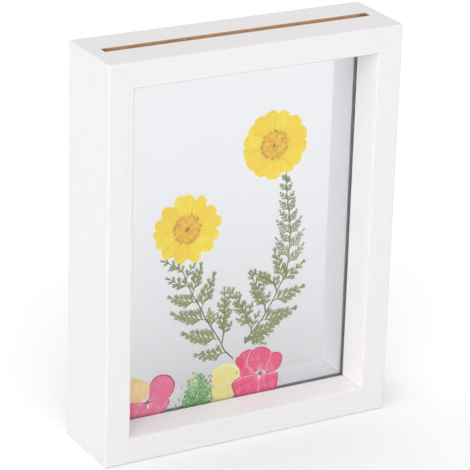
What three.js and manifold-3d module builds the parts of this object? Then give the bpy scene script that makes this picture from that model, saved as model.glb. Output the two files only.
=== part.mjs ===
// Pressed flower frame: a white box frame whose two glass panes hold pressed daisies, fern fronds and
// petals. Millimetres. +X is right, +Y is to the back and +Z is up. The origin is the middle of the
// footprint, on the face that the frame stands on.
import * as THREE from 'three';
import { mergeVertices } from 'three/addons/utils/BufferGeometryUtils.js';
import Module from 'manifold-3d';

const wasm = await Module();
wasm.setup();

// ---- driving dimensions ------------------------------------------------------------------------

const FRAME = { width: 171, height: 221.5, depth: 46.4, face: 14.4, arris: 1, mitreGap: 0.2 };
const GROOVE = { width: 5.2, depth: 6.4 };
const GLASS = { width: 152, height: 203, thickness: 2, apart: 0.8, clearance: 0.3, seamed: 0.25 };

// The pressed plants lie in six thin layers between the panes, layer 0 nearest the front.
const LAYER = { first: -0.3525, pitch: 0.125, thickness: 0.08 };

// A daisy's rays are [clock angle in degrees, tip radius, width].
const RAY = { inner: 6.4, foot: 0.42, shoulder: 0.24, round: 2.6, notch: 0.4 };
const DISC = { radius: 8.1, fringe: 0.9, teeth: 22 };
const UPPER_DAISY = {
  name: 'upper_daisy',
  centre: [23.3, 156.6],
  rays: [
    [18, 19.9, 9.2], [48, 20.4, 10.4], [75, 20.4, 10.4], [100, 20.4, 9.6], [125, 20, 9.6],
    [147, 19.9, 9], [181, 19.8, 10.6], [211, 19.2, 9.8], [238, 19.4, 10.2], [262, 19.4, 10],
    [284, 19.6, 9], [305, 19.4, 8.6], [326, 20.1, 9], [351, 19.9, 9.6],
  ],
};
const LOWER_DAISY = {
  name: 'lower_daisy',
  centre: [-27.8, 117.3],
  rays: [
    [-17, 20.4, 7.8], [1, 19.8, 8], [29, 19.9, 7.6], [61, 19.4, 9], [84, 21, 8.2],
    [109, 20.5, 8], [132, 20.5, 9.4], [163, 20.9, 8], [193, 19.5, 9.4], [225, 20.2, 9.2],
    [249, 19.9, 8.4], [268, 20.4, 8], [286, 20.4, 8], [312, 20, 8.6],
  ],
};

// Loose petals are smooth outlines through a few points, from one side of the foot round to the other.
const PETALS = [
  ['right_pink_top_petal', 'pink', 1, [
    [17.6, 27.4], [14, 29.6], [11.8, 33.2], [12.3, 37.4], [15, 40.5], [18.6, 41.2], [22.6, 39.8],
    [25.4, 36.9], [25.1, 32.2], [22.4, 28.5], [20.2, 27.1],
  ]],
  ['right_pink_right_petal', 'pink', 2, [
    [20.6, 27.2], [22.6, 31], [24.2, 34.6], [26.8, 36.1], [30.6, 35.5], [32.7, 32.8], [32.4, 29],
    [30.6, 26], [27, 24.4], [22.8, 24.6],
  ]],
  ['right_pink_back_petal', 'pink', 2, [
    [17.4, 27], [14.6, 31], [14, 36], [13.4, 40.3], [9.6, 40.5], [6.4, 38.8], [5.2, 35.6],
    [6.2, 31], [6.6, 27.2], [8, 25.5], [12.4, 25.4],
  ]],
  ['right_pink_folded_petal', 'pink', 1, [
    [8.8, 29.4], [6, 30.6], [3.9, 33.4], [3.4, 36.2], [4.8, 37.6], [7.2, 36.4], [8.8, 33.6],
  ]],
  ['right_pink_lower_petal', 'pink', 1, [
    [18.6, 25], [13, 25], [6.4, 24.7], [1.7, 22.8], [2.2, 18.6], [4.2, 14], [6.4, 10.8],
    [12, 9.9], [18.5, 10.5], [25, 9.9], [28.4, 11.2], [29.9, 15], [30.4, 20], [29.6, 23.8],
    [26, 24.2], [20.6, 24],
  ]],
  ['left_pink_upper_petal', 'pink', 2, [
    [-49, 23.2], [-48.6, 27], [-48.4, 31.6], [-46.4, 34.8], [-42.2, 36.3], [-37.2, 35.2],
    [-34, 31.6], [-33.4, 27.6], [-35.6, 23], [-39.4, 20.6], [-44.4, 20.6],
  ]],
  ['left_pink_right_petal', 'pink', 3, [
    [-48.6, 22], [-44.6, 22.7], [-38.6, 21.6], [-36.3, 20.2], [-37.4, 17], [-40.6, 13.4],
    [-44.6, 10.8], [-48.4, 10.3], [-49.9, 14], [-49.6, 19],
  ]],
  ['left_pink_left_petal', 'pink', 3, [
    [-50.4, 21.4], [-50.4, 15], [-52, 10.6], [-57, 9.9], [-63, 11.4], [-66.4, 15.4],
    [-66, 20.4], [-62.4, 23.8], [-56.6, 23.4],
  ]],
  ['cream_petal', 'cream', 1, [
    [-52.2, 23.4], [-49.8, 26.2], [-48.9, 30], [-49.8, 33.2], [-54, 34.9], [-59.6, 34.6],
    [-63.4, 32], [-64.4, 28.2], [-62.2, 24.6], [-57.2, 22.7],
  ]],
  ['pale_yellow_petal', 'paleYellow', 2, [
    [-53, 30], [-50.2, 33.6], [-53.4, 36.6], [-58.4, 37.9], [-63.6, 37], [-66.6, 33.4],
    [-66.4, 29.6], [-60, 27.5],
  ]],
  ['yellow_upper_petal', 'paleYellow', 3, [
    [-9.6, 25], [-10.8, 28.4], [-9.8, 32], [-6.2, 34.4], [-1.6, 34.9], [3.2, 33.4],
    [6, 30.2], [5.8, 26.6], [2.6, 24.1], [-3, 23.7],
  ]],
  ['yellow_lower_petal', 'paleYellow', 3, [
    [-10.2, 22.4], [-11.1, 18], [-10.6, 13.4], [-8, 10.4], [-3, 9.8], [1, 10.6], [2.6, 14],
    [2.8, 19], [1, 22.7], [-4, 23.1],
  ]],
];

// A flower's eye is a small star: centre, radius, rays.
const EYES = [
  ['right_pink_eye', [19, 25.4], 2.7, 8],
  ['left_pink_eye', [-49.8, 21.9], 2.7, 8],
];

// Fern branches: the stem runs smoothly through its points; each pinna is [foot x, foot z, tip x, tip z,
// sag of its rib, length of its longest lobe, pairs of lobes].
const FERN = {
  stem: [1, 0.4],
  rib: 0.6,
  lobeWidth: 0.46,
  endLobe: 0.8,
  upperLean: [0.84, 0.5],
  lowerLean: [0.56, 0.38],
  forkFrom: 3.8,
  firstLobe: 0.18,
  lastLobe: 0.62,
  lowerOffset: 0.06,
  footOverlap: 0.25,
  stray: 0.07,
  nudge: 0.01,
  leastGap: 0.5,
};
const FRONDS = [
  ['left_fern_frond', 5,
    [[2.2, 37], [-1, 40.3], [-3.8, 43.6], [-6, 48.5], [-9.8, 55], [-13.6, 60.8], [-16.6, 66],
      [-18.4, 70.2], [-22.6, 77], [-25, 82], [-27.4, 87.5], [-29.6, 93], [-33.6, 96.8], [-40.3, 100.6]],
    [
      [-3, 41, -22, 43.4, -0.8, 6.4, 3],
      [-7, 50.3, -30, 57.8, -0.6, 7.4, 3],
      [-14.6, 63.2, -36.8, 70.4, -0.4, 7, 3],
      [-20.8, 74.6, -38.7, 80.2, -0.8, 6, 3],
      [-26, 84.2, -39.8, 91.6, -0.7, 5.4, 3],
      [-11.4, 58, -13.4, 69.6, 0.6, 5, 1],
      [-17.8, 69.8, -10.4, 90, 0.8, 5.4, 3],
      [-19.6, 73, -20.8, 76.8, 0.2, 1.8, 1],
      [-22.8, 79.4, -18.4, 96.8, 1, 4.8, 3],
      [-27.6, 88.4, -22.4, 97.4, 0.8, 4, 2],
      [-33.4, 96.6, -38.4, 95.6, 0, 2.6, 1],
    ]],
  ['left_fern_side_branch', 4,
    [[-5, 47.6], [-4.4, 53], [-4.6, 58], [-4.2, 64], [-3.8, 70], [-4.4, 77.4]],
    [
      [-4.6, 52, 0.8, 59.4, 0.4, 4.2, 2],
      [-4.6, 56, -8.6, 66, 0.4, 4.6, 2],
      [-4.4, 60, 0.6, 66.4, 0.4, 4, 2],
      [-4.3, 64, -8.2, 72, 0.4, 4, 2],
      [-4, 67.4, -0.6, 76.4, 0.4, 3.8, 2],
    ]],
  ['right_fern_frond', 4,
    [[9.6, 46.6], [13, 50], [16.4, 54], [20.4, 58.6], [23.6, 63.8], [26.6, 68.6], [29, 74],
      [32, 79.4], [34, 86], [34.6, 94], [35, 101], [34.6, 110], [33.6, 118], [32, 127],
      [31.5, 134], [31.1, 139.6]],
    [
      [12, 47, 22.6, 41.8, 0.6, 2.8, 2],
      [12.4, 47.6, 26.6, 48.7, -0.9, 5, 3],
      [13, 49, 30.2, 53.2, -0.5, 3.4, 3],
      [19.4, 56.2, 41, 60.2, -1.2, 6, 3],
      [25.8, 67, 45.4, 72.3, -1, 5.6, 3],
      [31.2, 77.6, 44.8, 87.2, -0.9, 5, 3],
      [34.3, 87.4, 44, 97.4, -0.8, 4.6, 3],
      [34.8, 96, 43.6, 105.8, -0.8, 4.2, 3],
      [34.9, 104, 41.6, 113.4, -0.6, 3.8, 2],
      [34.4, 111, 38.6, 118, -0.4, 3.2, 2],
      [33.7, 117, 37.2, 125, -0.4, 2.8, 2],
      [32.8, 123, 36.4, 128.4, 0, 2.2, 1],
      [31.9, 128.6, 35, 133.4, 0, 2, 1],
      [31.6, 133.4, 33.3, 137.4, 0, 1.4, 1],
      [31.6, 79, 25.2, 97.4, -1, 5, 3],
      [34.2, 90.8, 26, 103.6, -0.8, 4.6, 3],
      [34.8, 99.4, 28.6, 105.4, -0.2, 3.4, 1],
      [34.8, 104.6, 26.2, 113.6, -0.6, 4.2, 3],
      [34.4, 110.8, 27.6, 119, -0.4, 3.4, 2],
      [33.4, 118, 27.5, 124.6, -0.3, 2.8, 2],
      [32.4, 124.2, 27.7, 129, -0.2, 2.4, 1],
      [31.8, 129.8, 27.6, 134, 0, 2, 1],
      [31.4, 135, 28.9, 138.8, 0, 1.4, 1],
    ]],
  ['right_fern_lower_branch', 3,
    [[12.6, 49.6], [12.8, 53], [10.4, 57.4], [8.2, 63], [5.6, 68], [2.6, 72.6], [-0.4, 77.2]],
    [
      [13, 53, 17.4, 62.4, 0.4, 3.6, 1],
      [11, 56.4, 3, 60.4, -0.5, 3.6, 2],
      [9.8, 59, 13, 68.8, 0.4, 3.6, 2],
      [8.2, 63, 1.8, 66, -0.4, 3.2, 1],
      [6.8, 65.8, 8.8, 70, 0.2, 2, 1],
      [5.4, 68.2, 0.6, 69.6, -0.2, 2.4, 1],
      [4.6, 69.6, 4.8, 75.8, 0.3, 2.2, 1],
    ]],
  ['right_fern_middle_branch', 5,
    [[21.4, 60.6], [20.6, 65], [18.6, 69], [17, 73], [14.8, 78], [11.8, 83.6]],
    [
      [20.4, 65.6, 13.4, 71.4, -0.6, 3.2, 2],
      [20.6, 64, 23.8, 72.4, 0.5, 4, 2],
      [17.8, 71, 11.2, 75, -0.4, 3, 1],
      [17.8, 71, 20.2, 76.6, 0.4, 3, 1],
      [15.8, 76, 11.2, 79, -0.3, 2.2, 1],
    ]],
  ['right_fern_upper_branch', 3,
    [[28, 71.6], [26.8, 75], [24.4, 78.4], [20.8, 80.8], [17, 83], [13.2, 85.4]],
    [
      [27.2, 74.4, 28.8, 81.2, 0.3, 3.6, 1],
      [24.6, 78.4, 16.6, 77.2, 0.8, 3, 2],
      [22.4, 80.2, 19.8, 84.6, 0.2, 2.4, 1],
      [19, 81.8, 16.2, 85.6, 0.1, 2, 1],
      [19.6, 81.4, 14.8, 81, 0.2, 2, 1],
    ]],
];

// The green lace flower: a mass of small florets with a toothed edge.
const LACE = {
  outline: [
    [-27, 11], [-28.6, 17], [-26.4, 22.6], [-24.4, 29.6], [-18.6, 32.2], [-14.4, 28.4],
    [-11.4, 23], [-10.8, 16], [-12.6, 11], [-19.6, 9.8],
  ],
  teeth: 22,
  tooth: 0.9,
};
const STAMENS = { centre: [-11.6, 28], length: 4.6, count: 4, width: 0.5, spread: 0.34 };

// ---- materials ---------------------------------------------------------------------------------

const standard = (color, roughness) => new THREE.MeshStandardMaterial({ color, roughness, metalness: 0 });
const MATERIALS = {
  paint: standard(0xefedee, 0.45),
  glass: standard(0xdfe6e6, 0.05),
  ray: standard(0xfad746, 0.7),
  disc: standard(0xdfa63c, 0.85),
  pink: standard(0xe65a82, 0.7),
  cream: standard(0xf0cd82, 0.7),
  paleYellow: standard(0xf2e184, 0.7),
  fern: standard(0x8f9c6e, 0.75),
  lace: standard(0x66b06c, 0.8),
  stamen: standard(0x96743c, 0.8),
};

// ---- helpers -----------------------------------------------------------------------------------

const group = new THREE.Group();
const lerp = THREE.MathUtils.lerp;
const radians = THREE.MathUtils.degToRad;

/** Names a geometry, gives it a finish and adds it to the frame. */
function add(name, geometry, material) {
  const mesh = new THREE.Mesh(geometry, material);
  mesh.name = name;
  group.add(mesh);
  return mesh;
}

/** A closed three.js geometry as a solid that can be joined and cut. */
function solid(geometry) {
  geometry.deleteAttribute('normal');
  geometry.deleteAttribute('uv');
  const merged = mergeVertices(geometry, 1e-4);
  return new wasm.Manifold(new wasm.Mesh({
    numProp: 3,
    vertProperties: merged.attributes.position.array,
    triVerts: Uint32Array.from(merged.index.array),
  }));
}

/** A joined or cut solid as a three.js geometry again. */
function geometryOf(body) {
  const mesh = body.getMesh();
  const geometry = new THREE.BufferGeometry();
  geometry.setAttribute('position', new THREE.BufferAttribute(mesh.vertProperties, 3));
  geometry.setIndex(new THREE.BufferAttribute(mesh.triVerts, 1));
  return geometry;
}

/** Extrudes an outline straight, without a bevel. */
function prism(shape, depth, curveSegments = 4) {
  return new THREE.ExtrudeGeometry(shape, { depth, curveSegments, bevelEnabled: false });
}

const vectors = (loop) => loop.map(([x, z]) => new THREE.Vector2(x, z));

/** A flat plate in the glass plane, one layer thick or more. The outline and its gaps are [x, z] points. */
function plate(outline, layer, { layers = 1, gaps = [] } = {}) {
  const shape = new THREE.Shape(vectors(outline));
  shape.holes = gaps.map((gap) => new THREE.Path(vectors(gap)));
  const thickness = LAYER.thickness + (layers - 1) * LAYER.pitch;
  const back = LAYER.first + layer * LAYER.pitch + thickness;
  return prism(shape, thickness).rotateX(Math.PI / 2).translate(0, back, 0);
}

/** A smooth closed outline through [x, z] points. */
function smoothOutline(points, steps) {
  const curve = new THREE.CatmullRomCurve3(points.map(([x, z]) => new THREE.Vector3(x, z, 0)), true);
  return curve.getPoints(steps).slice(0, -1).map((p) => [p.x, p.y]);
}

// ---- the wooden frame --------------------------------------------------------------------------

/** A member's section, with eased arrises and the groove for the panes in its inner face. */
function memberSection() {
  const { depth, face, arris } = FRAME;
  const half = depth / 2;
  const lip = GROOVE.width / 2;
  const shape = new THREE.Shape();
  shape.moveTo(-half + arris, 0);
  shape.lineTo(half - arris, 0);
  shape.absarc(half - arris, arris, arris, -Math.PI / 2, 0);
  shape.lineTo(half, face - arris);
  shape.absarc(half - arris, face - arris, arris, 0, Math.PI / 2);
  shape.lineTo(lip, face);
  shape.lineTo(lip, face - GROOVE.depth);
  shape.lineTo(-lip, face - GROOVE.depth);
  shape.lineTo(-lip, face);
  shape.lineTo(-half + arris, face);
  shape.absarc(-half + arris, face - arris, arris, Math.PI / 2, Math.PI);
  shape.lineTo(-half, arris);
  shape.absarc(-half + arris, arris, arris, Math.PI, 1.5 * Math.PI);
  return shape;
}

/** A member lying along X with its outer face at z = 0, mitred at both ends. */
function member(length) {
  const { depth, face, mitreGap } = FRAME;
  const bar = prism(memberSection(), length, 3)
    .rotateX(Math.PI / 2)
    .rotateZ(Math.PI / 2)
    .translate(-length / 2, 0, 0);
  const outer = length / 2 - mitreGap / Math.SQRT2;
  const mitre = new THREE.Shape();
  mitre.moveTo(-outer - 1, -1);
  mitre.lineTo(outer + 1, -1);
  mitre.lineTo(outer - face - 1, face + 1);
  mitre.lineTo(-outer + face + 1, face + 1);
  const wedge = prism(mitre, depth + 2).rotateX(Math.PI / 2).translate(0, depth / 2 + 1, 0);
  return solid(bar).intersect(solid(wedge));
}

/** The slot in the top member that the panes slide through, with round ends. */
function glassSlot() {
  const { width, face } = FRAME;
  const radius = GROOVE.width / 2;
  const reach = width / 2 - face + GROOVE.depth - radius;
  const shape = new THREE.Shape();
  shape.absarc(reach, 0, radius, -Math.PI / 2, Math.PI / 2);
  shape.absarc(-reach, 0, radius, Math.PI / 2, 1.5 * Math.PI);
  return solid(prism(shape, face + 2, 6).translate(0, 0, -1));
}

function addFrame() {
  const { width, height } = FRAME;
  add('bottom_rail', geometryOf(member(width)), MATERIALS.paint);
  const top = add('top_rail', geometryOf(member(width).subtract(glassSlot())), MATERIALS.paint);
  top.rotation.y = Math.PI;
  top.position.z = height;
  const left = add('left_stile', geometryOf(member(height)), MATERIALS.paint);
  left.rotation.y = Math.PI / 2;
  left.position.set(-width / 2, 0, height / 2);
  const right = add('right_stile', geometryOf(member(height)), MATERIALS.paint);
  right.rotation.y = -Math.PI / 2;
  right.position.set(width / 2, 0, height / 2);
}

// ---- the panes ---------------------------------------------------------------------------------

/** A pane with seamed edges, standing in the grooves with its near face away from the plants. */
function addPane(name, side) {
  const { width, height, thickness, apart, clearance, seamed } = GLASS;
  const foot = FRAME.face - GROOVE.depth + clearance;
  const w = width / 2 - seamed;
  const shape = new THREE.Shape();
  shape.moveTo(-w, foot + seamed);
  shape.lineTo(w, foot + seamed);
  shape.lineTo(w, foot + height - seamed);
  shape.lineTo(-w, foot + height - seamed);
  const geometry = new THREE.ExtrudeGeometry(shape, {
    depth: thickness - 2 * seamed,
    bevelThickness: seamed,
    bevelSize: seamed,
    bevelSegments: 1,
  });
  geometry.rotateX(Math.PI / 2).translate(0, thickness / 2 - seamed, 0);
  const pane = add(name, geometry, MATERIALS.glass);
  pane.position.y = side * (apart + thickness) / 2;
}

// ---- daisies -----------------------------------------------------------------------------------

/** A ray floret's outline: a narrow foot under the disc, full shoulders and a round notched tip. */
function rayOutline([cx, cz], [clock, tip, width]) {
  const angle = radians(clock);
  const along = [Math.sin(angle), Math.cos(angle)];
  const across = [along[1], -along[0]];
  const length = tip - RAY.inner;
  const point = (s, t) => {
    const reach = length * (1 - RAY.shoulder * Math.abs(s) ** RAY.round) - RAY.notch * (1 - s * s) ** 8;
    const r = RAY.inner + t * reach;
    const half = s * (width / 2) * lerp(RAY.foot, 1, Math.sin((Math.PI / 2) * Math.min(1, t / 0.75)));
    return [cx + along[0] * r + across[0] * half, cz + along[1] * r + across[1] * half];
  };
  const sides = [0, 0.3, 0.62];
  const tips = [-1, -0.8, -0.42, 0, 0.42, 0.8, 1];
  return [
    ...sides.map((t) => point(-1, t)),
    ...tips.map((s) => point(s, 1)),
    ...sides.map((t) => point(1, t)).reverse(),
  ];
}

/** The round middle of a daisy, with the fringe of short bracts round it. */
function discOutline([cx, cz]) {
  const steps = 2 * DISC.teeth;
  return Array.from({ length: steps }, (_, i) => {
    const angle = (2 * Math.PI * i) / steps;
    const r = DISC.radius + (i % 2) * DISC.fringe;
    return [cx + r * Math.cos(angle), cz + r * Math.sin(angle)];
  });
}

function addDaisy({ name, centre, rays }) {
  rays.forEach((ray, i) => {
    const number = String(i + 1).padStart(2, '0');
    const outline = rayOutline(centre, ray).reverse();
    add(`${name}_petal_${number}`, plate(outline, 2 + (i % 2)), MATERIALS.ray);
  });
  add(`${name}_disc`, plate(discOutline(centre), 0, { layers: 2 }), MATERIALS.disc);
}

// ---- loose petals, eyes, lace and stamens ------------------------------------------------------

function addPetals() {
  for (const [name, material, layer, points] of PETALS) {
    add(name, plate(smoothOutline(points, 2 * points.length), layer), MATERIALS[material]);
  }
}

function addEyes() {
  for (const [name, [cx, cz], radius, rays] of EYES) {
    const outline = Array.from({ length: 2 * rays }, (_, i) => {
      const r = radius * (i % 2 ? 0.45 : 1);
      const angle = (Math.PI * i) / rays;
      return [cx + r * Math.cos(angle), cz + r * Math.sin(angle)];
    });
    add(name, plate(outline, 0), MATERIALS.stamen);
  }
}

function addLace() {
  const rim = smoothOutline(LACE.outline, 2 * LACE.teeth);
  const middle = LACE.outline.reduce(([x, z], [px, pz]) => [x + px, z + pz], [0, 0])
    .map((sum) => sum / LACE.outline.length);
  const outline = rim.map(([x, z], i) => {
    const out = Math.hypot(x - middle[0], z - middle[1]);
    const k = 1 - (i % 2) * (LACE.tooth / out);
    return [middle[0] + (x - middle[0]) * k, middle[1] + (z - middle[1]) * k];
  });
  add('green_lace_flower', plate(outline, 2), MATERIALS.lace);
}

/** A ribbon that follows [x, z] points and narrows from its foot to its tip. */
function ribbon(points, [footWidth, tipWidth], layer) {
  const left = [];
  const right = [];
  points.forEach(([x, z], i) => {
    const [ax, az] = points[Math.max(0, i - 1)];
    const [bx, bz] = points[Math.min(points.length - 1, i + 1)];
    const span = Math.hypot(bx - ax, bz - az);
    const half = lerp(footWidth, tipWidth, i / (points.length - 1)) / 2;
    const nx = (-(bz - az) / span) * half;
    const nz = ((bx - ax) / span) * half;
    left.push([x + nx, z + nz]);
    right.push([x - nx, z - nz]);
  });
  return solid(plate([...right, ...left.reverse()], layer));
}

function addStamens() {
  const { centre: [cx, cz], length, count, width, spread } = STAMENS;
  let bundle = ribbon([[cx, cz - length / 2], [cx, cz + length / 2]], [width, width], 3);
  for (let i = 0; i < count; i += 1) {
    const z = cz + length * ((i + 0.5) / count - 0.5);
    const tip = [cx - 1, z + spread];
    bundle = bundle.add(ribbon([[cx + 0.1, z - spread], tip], [width, width], 3));
  }
  add('yellow_flower_stamens', geometryOf(bundle), MATERIALS.stamen);
}

// ---- ferns -------------------------------------------------------------------------------------

/**
 * One fern lobe: narrow at its foot, which runs a little way into what it grows from, and widest at its
 * end, which is forked on the longer ones.
 */
function lobe([x, z], angle, length, layer) {
  const half = (length * FERN.lobeWidth) / 2;
  const end = length > FERN.forkFrom ? [[0.94, 1], [0.8, 0.06], [1, -0.82]] : [[0.92, 0.95], [1, -0.75]];
  const foot = -FERN.footOverlap / length;
  const outline = [[foot, 0.3], ...end, [foot, -0.3]].map(([u, v]) => {
    const along = u * length;
    const across = v * half;
    return [
      x + along * Math.cos(angle) - across * Math.sin(angle),
      z + along * Math.sin(angle) + across * Math.cos(angle),
    ];
  });
  return solid(plate(outline, layer));
}

/**
 * The solids of one pinna: a sagging rib with pairs of lobes and a lobe at the end. The lobes lean towards
 * its tip, those on the upper side less than those on the lower side.
 */
function pinna([x0, z0, x1, z1, sag, longest, pairs], layer) {
  const span = Math.hypot(x1 - x0, z1 - z0);
  const heading = Math.atan2(z1 - z0, x1 - x0);
  const endLobe = Math.min(longest, 0.8 * span) * FERN.endLobe;
  const reach = (span - endLobe) / span;
  const onRib = (t) => {
    const drop = 4 * sag * t * (1 - t);
    return [lerp(x0, x1, t * reach), lerp(z0, z1, t * reach) + drop];
  };
  const sideLobes = (side) => Array.from({ length: pairs }, (_, i) => {
    const upper = side * (x1 - x0) > 0;
    const t = lerp(FERN.firstLobe, FERN.lastLobe, pairs > 1 ? i / (pairs - 1) : 0.5)
      + (upper ? 0 : FERN.lowerOffset);
    const lean = lerp(...(upper ? FERN.upperLean : FERN.lowerLean), t);
    return lobe(onRib(t / reach), heading + side * lean, longest * lerp(1.05, 0.6, t), layer);
  });
  return [
    ribbon([onRib(0), onRib(0.5), onRib(1)], [FERN.rib, FERN.rib], layer),
    ...sideLobes(1),
    ...sideLobes(-1),
    lobe(onRib(1), heading, endLobe, layer),
  ];
}

/** The point of a stem that is nearest to [x, z], so that every pinna starts on its stem. */
function nearestOn(stem, [x, z]) {
  const wanted = new THREE.Vector3(x, z, 0);
  const feet = stem.slice(1).map((end, i) => {
    const line = new THREE.Line3(new THREE.Vector3(...stem[i], 0), new THREE.Vector3(...end, 0));
    return line.closestPointToPoint(wanted, true, new THREE.Vector3());
  });
  const best = feet.reduce((a, b) => (a.distanceTo(wanted) < b.distanceTo(wanted) ? a : b));
  return [best.x, best.y];
}

/** Leaves out each point of a loop that strays from the line between its neighbours by too little. */
function withoutStrays(loop, least) {
  const points = [...loop];
  const strayOf = (_, i) => {
    const [[ax, az], [bx, bz], [cx, cz]] = [-1, 0, 1].map((k) => points.at((i + k) % points.length));
    return Math.abs((cx - ax) * (bz - az) - (cz - az) * (bx - ax)) / Math.hypot(cx - ax, cz - az);
  };
  while (points.length > 3) {
    const strays = points.map(strayOf);
    const smallest = Math.min(...strays);
    if (smallest > least) break;
    points.splice(strays.indexOf(smallest), 1);
  }
  return points;
}

/** Nudges each point of a loop by a little, so that no three of them stand in one line. */
function nudged(loop) {
  const turn = Math.PI * (3 - Math.sqrt(5));
  return loop.map(([x, z], i) => [
    x + FERN.nudge * Math.cos(i * turn),
    z + FERN.nudge * Math.sin(i * turn),
  ]);
}

/** The loops of [x, z] points round the front face of a flat body, the outer one and those of its gaps. */
function loopsOf(body) {
  const { triVerts, vertProperties } = body.getMesh();
  const [x, y, z] = [0, 1, 2].map((axis) => (vertex) => vertProperties[3 * vertex + axis]);
  const middle = (body.boundingBox().min[1] + body.boundingBox().max[1]) / 2;
  const edges = new Set();
  for (let t = 0; t < triVerts.length; t += 3) {
    const corners = [...triVerts.slice(t, t + 3)];
    if (corners.every((vertex) => y(vertex) < middle)) {
      corners.forEach((from, i) => {
        const to = corners[(i + 1) % 3];
        if (!edges.delete(`${to} ${from}`)) edges.add(`${from} ${to}`);
      });
    }
  }
  const next = new Map([...edges].map((edge) => edge.split(' ')));
  const loops = [];
  while (next.size > 0) {
    const loop = [];
    let vertex = next.keys().next().value;
    while (next.has(vertex)) {
      loop.push([x(vertex), z(vertex)]);
      const following = next.get(vertex);
      next.delete(vertex);
      vertex = following;
    }
    loops.push(loop);
  }
  return loops;
}

/** A branch as one plate: gaps between its lobes stay open, save for slits smaller than the least gap. */
function branchPlate(parts, layer) {
  const size = (loop) => Math.abs(THREE.ShapeUtils.area(vectors(loop)));
  const [outline, ...gaps] = loopsOf(wasm.Manifold.union(parts))
    .filter((loop) => size(loop) > FERN.leastGap)
    .sort((a, b) => size(b) - size(a))
    .map((loop) => nudged(withoutStrays(loop, FERN.stray)));
  return plate(outline, layer, { gaps });
}

function addFrond([name, layer, stemPoints, pinnae]) {
  const curve = new THREE.CatmullRomCurve3(stemPoints.map(([x, z]) => new THREE.Vector3(x, z, 0)));
  const stem = curve.getPoints(Math.round(1.4 * stemPoints.length)).map((p) => [p.x, p.y]);
  const [ax, az] = stem[stem.length - 2];
  const [bx, bz] = stem[stem.length - 1];
  const parts = [
    ribbon(stem, FERN.stem, layer),
    lobe([ax, az], Math.atan2(bz - az, bx - ax), Math.hypot(bx - ax, bz - az) + 0.4, layer),
    ...pinnae.flatMap(([x, z, ...rest]) => pinna([...nearestOn(stem, [x, z]), ...rest], layer)),
  ];
  add(name, branchPlate(parts, layer), MATERIALS.fern);
}

// ---- assembly ----------------------------------------------------------------------------------

addFrame();
addPane('front_glass', -1);
addPane('back_glass', 1);
addDaisy(UPPER_DAISY);
addDaisy(LOWER_DAISY);
addPetals();
addEyes();
addLace();
addStamens();
FRONDS.forEach(addFrond);

export default group;
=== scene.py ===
"""Dresses the pressed flower frame: white painted members, clear panes and the dry plants between them.

Blender's lengths are metres. The plants lie flat in the plane of the glass, so their outlines are [x, z]
points in millimetres, and a layer number says how far back each one lies. +X is right, +Y is to the back,
+Z is up, and the origin is the middle of the footprint.
"""

import logging
import math
import random
from dataclasses import dataclass, field
from enum import Enum
from typing import Callable, Sequence

import bmesh
import bpy
from mathutils import Matrix, Vector, noise


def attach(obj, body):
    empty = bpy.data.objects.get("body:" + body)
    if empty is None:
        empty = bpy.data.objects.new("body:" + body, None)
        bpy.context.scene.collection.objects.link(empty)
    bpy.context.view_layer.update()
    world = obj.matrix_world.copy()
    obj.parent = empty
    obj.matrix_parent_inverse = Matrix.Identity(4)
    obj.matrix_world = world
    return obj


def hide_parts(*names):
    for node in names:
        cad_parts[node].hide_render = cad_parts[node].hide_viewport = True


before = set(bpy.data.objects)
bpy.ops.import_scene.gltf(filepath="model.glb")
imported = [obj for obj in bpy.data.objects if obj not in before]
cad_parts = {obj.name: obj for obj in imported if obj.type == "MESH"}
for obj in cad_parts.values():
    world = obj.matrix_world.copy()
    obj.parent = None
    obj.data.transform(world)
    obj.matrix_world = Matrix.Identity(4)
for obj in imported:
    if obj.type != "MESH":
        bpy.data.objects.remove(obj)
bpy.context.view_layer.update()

log = logging.getLogger("pressed_flower_frame")

Point = tuple[float, float]
Colour = tuple[float, float, float, float]
Span = tuple[float, float]
Spot = tuple[float, float, float]
Place = Callable[[float, float], Spot]

MM = 0.001
BODY = "root"
TONE = "tone"
MERGE_WITHIN = 0.003 * MM
SHARP_ANGLE = math.radians(50)
GOLDEN_ANGLE = math.pi * (3 - math.sqrt(5))
MARGIN = 0.1  # how far past an edge a coat or a filling runs, in millimetres


class Slot(Enum):
    """The record's material slots."""

    PAINT = "white_paint"
    GLASS = "glass"
    RAY = "yellow_ray"
    DISC = "daisy_disc"
    PINK = "pink_petal"
    EYE = "flower_eye"
    CREAM = "cream_petal"
    PALE_YELLOW = "pale_yellow_petal"
    FERN = "fern_green"
    LACE = "lace_green"
    STAMEN = "stamen_brown"


class Grain(Enum):
    """The direction that a member's brushed paint runs in."""

    ALONG_X = (0.03, 1.0, 1.0)
    ALONG_Z = (1.0, 1.0, 0.03)


@dataclass(frozen=True)
class FrameSizes:
    """The wooden frame's driving sizes, in millimetres."""

    width: float = 171.0
    height: float = 221.5
    depth: float = 46.4
    face: float = 14.4
    groove_depth: float = 6.4
    groove_width: float = 5.2

    @property
    def half_opening(self) -> float:
        """How far from the middle the stiles' inner faces are."""
        return self.width / 2 - self.face


SIZES = FrameSizes()


# ---- plain helpers ---------------------------------------------------------------------------------------


def srgb(red: float, green: float, blue: float) -> Colour:
    """Turns a display colour of 0 to 255 into Blender's linear colour.

    Args:
        red: the red channel.
        green: the green channel.
        blue: the blue channel.

    Returns:
        The linear colour with an alpha of 1.
    """

    def linear(value: float) -> float:
        """One channel without its display curve."""
        part = value / 255
        return part / 12.92 if part <= 0.04045 else ((part + 0.055) / 1.055) ** 2.4

    return (linear(red), linear(green), linear(blue), 1.0)


def lerp(start: float, end: float, amount: float) -> float:
    """The value that lies amount of the way from start to end."""
    return start + (end - start) * amount


def smooth_step(low: float, high: float, value: float) -> float:
    """Rises smoothly from 0 at low to 1 at high."""
    t = min(1.0, max(0.0, (value - low) / (high - low)))
    return t * t * (3 - 2 * t)


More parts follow.
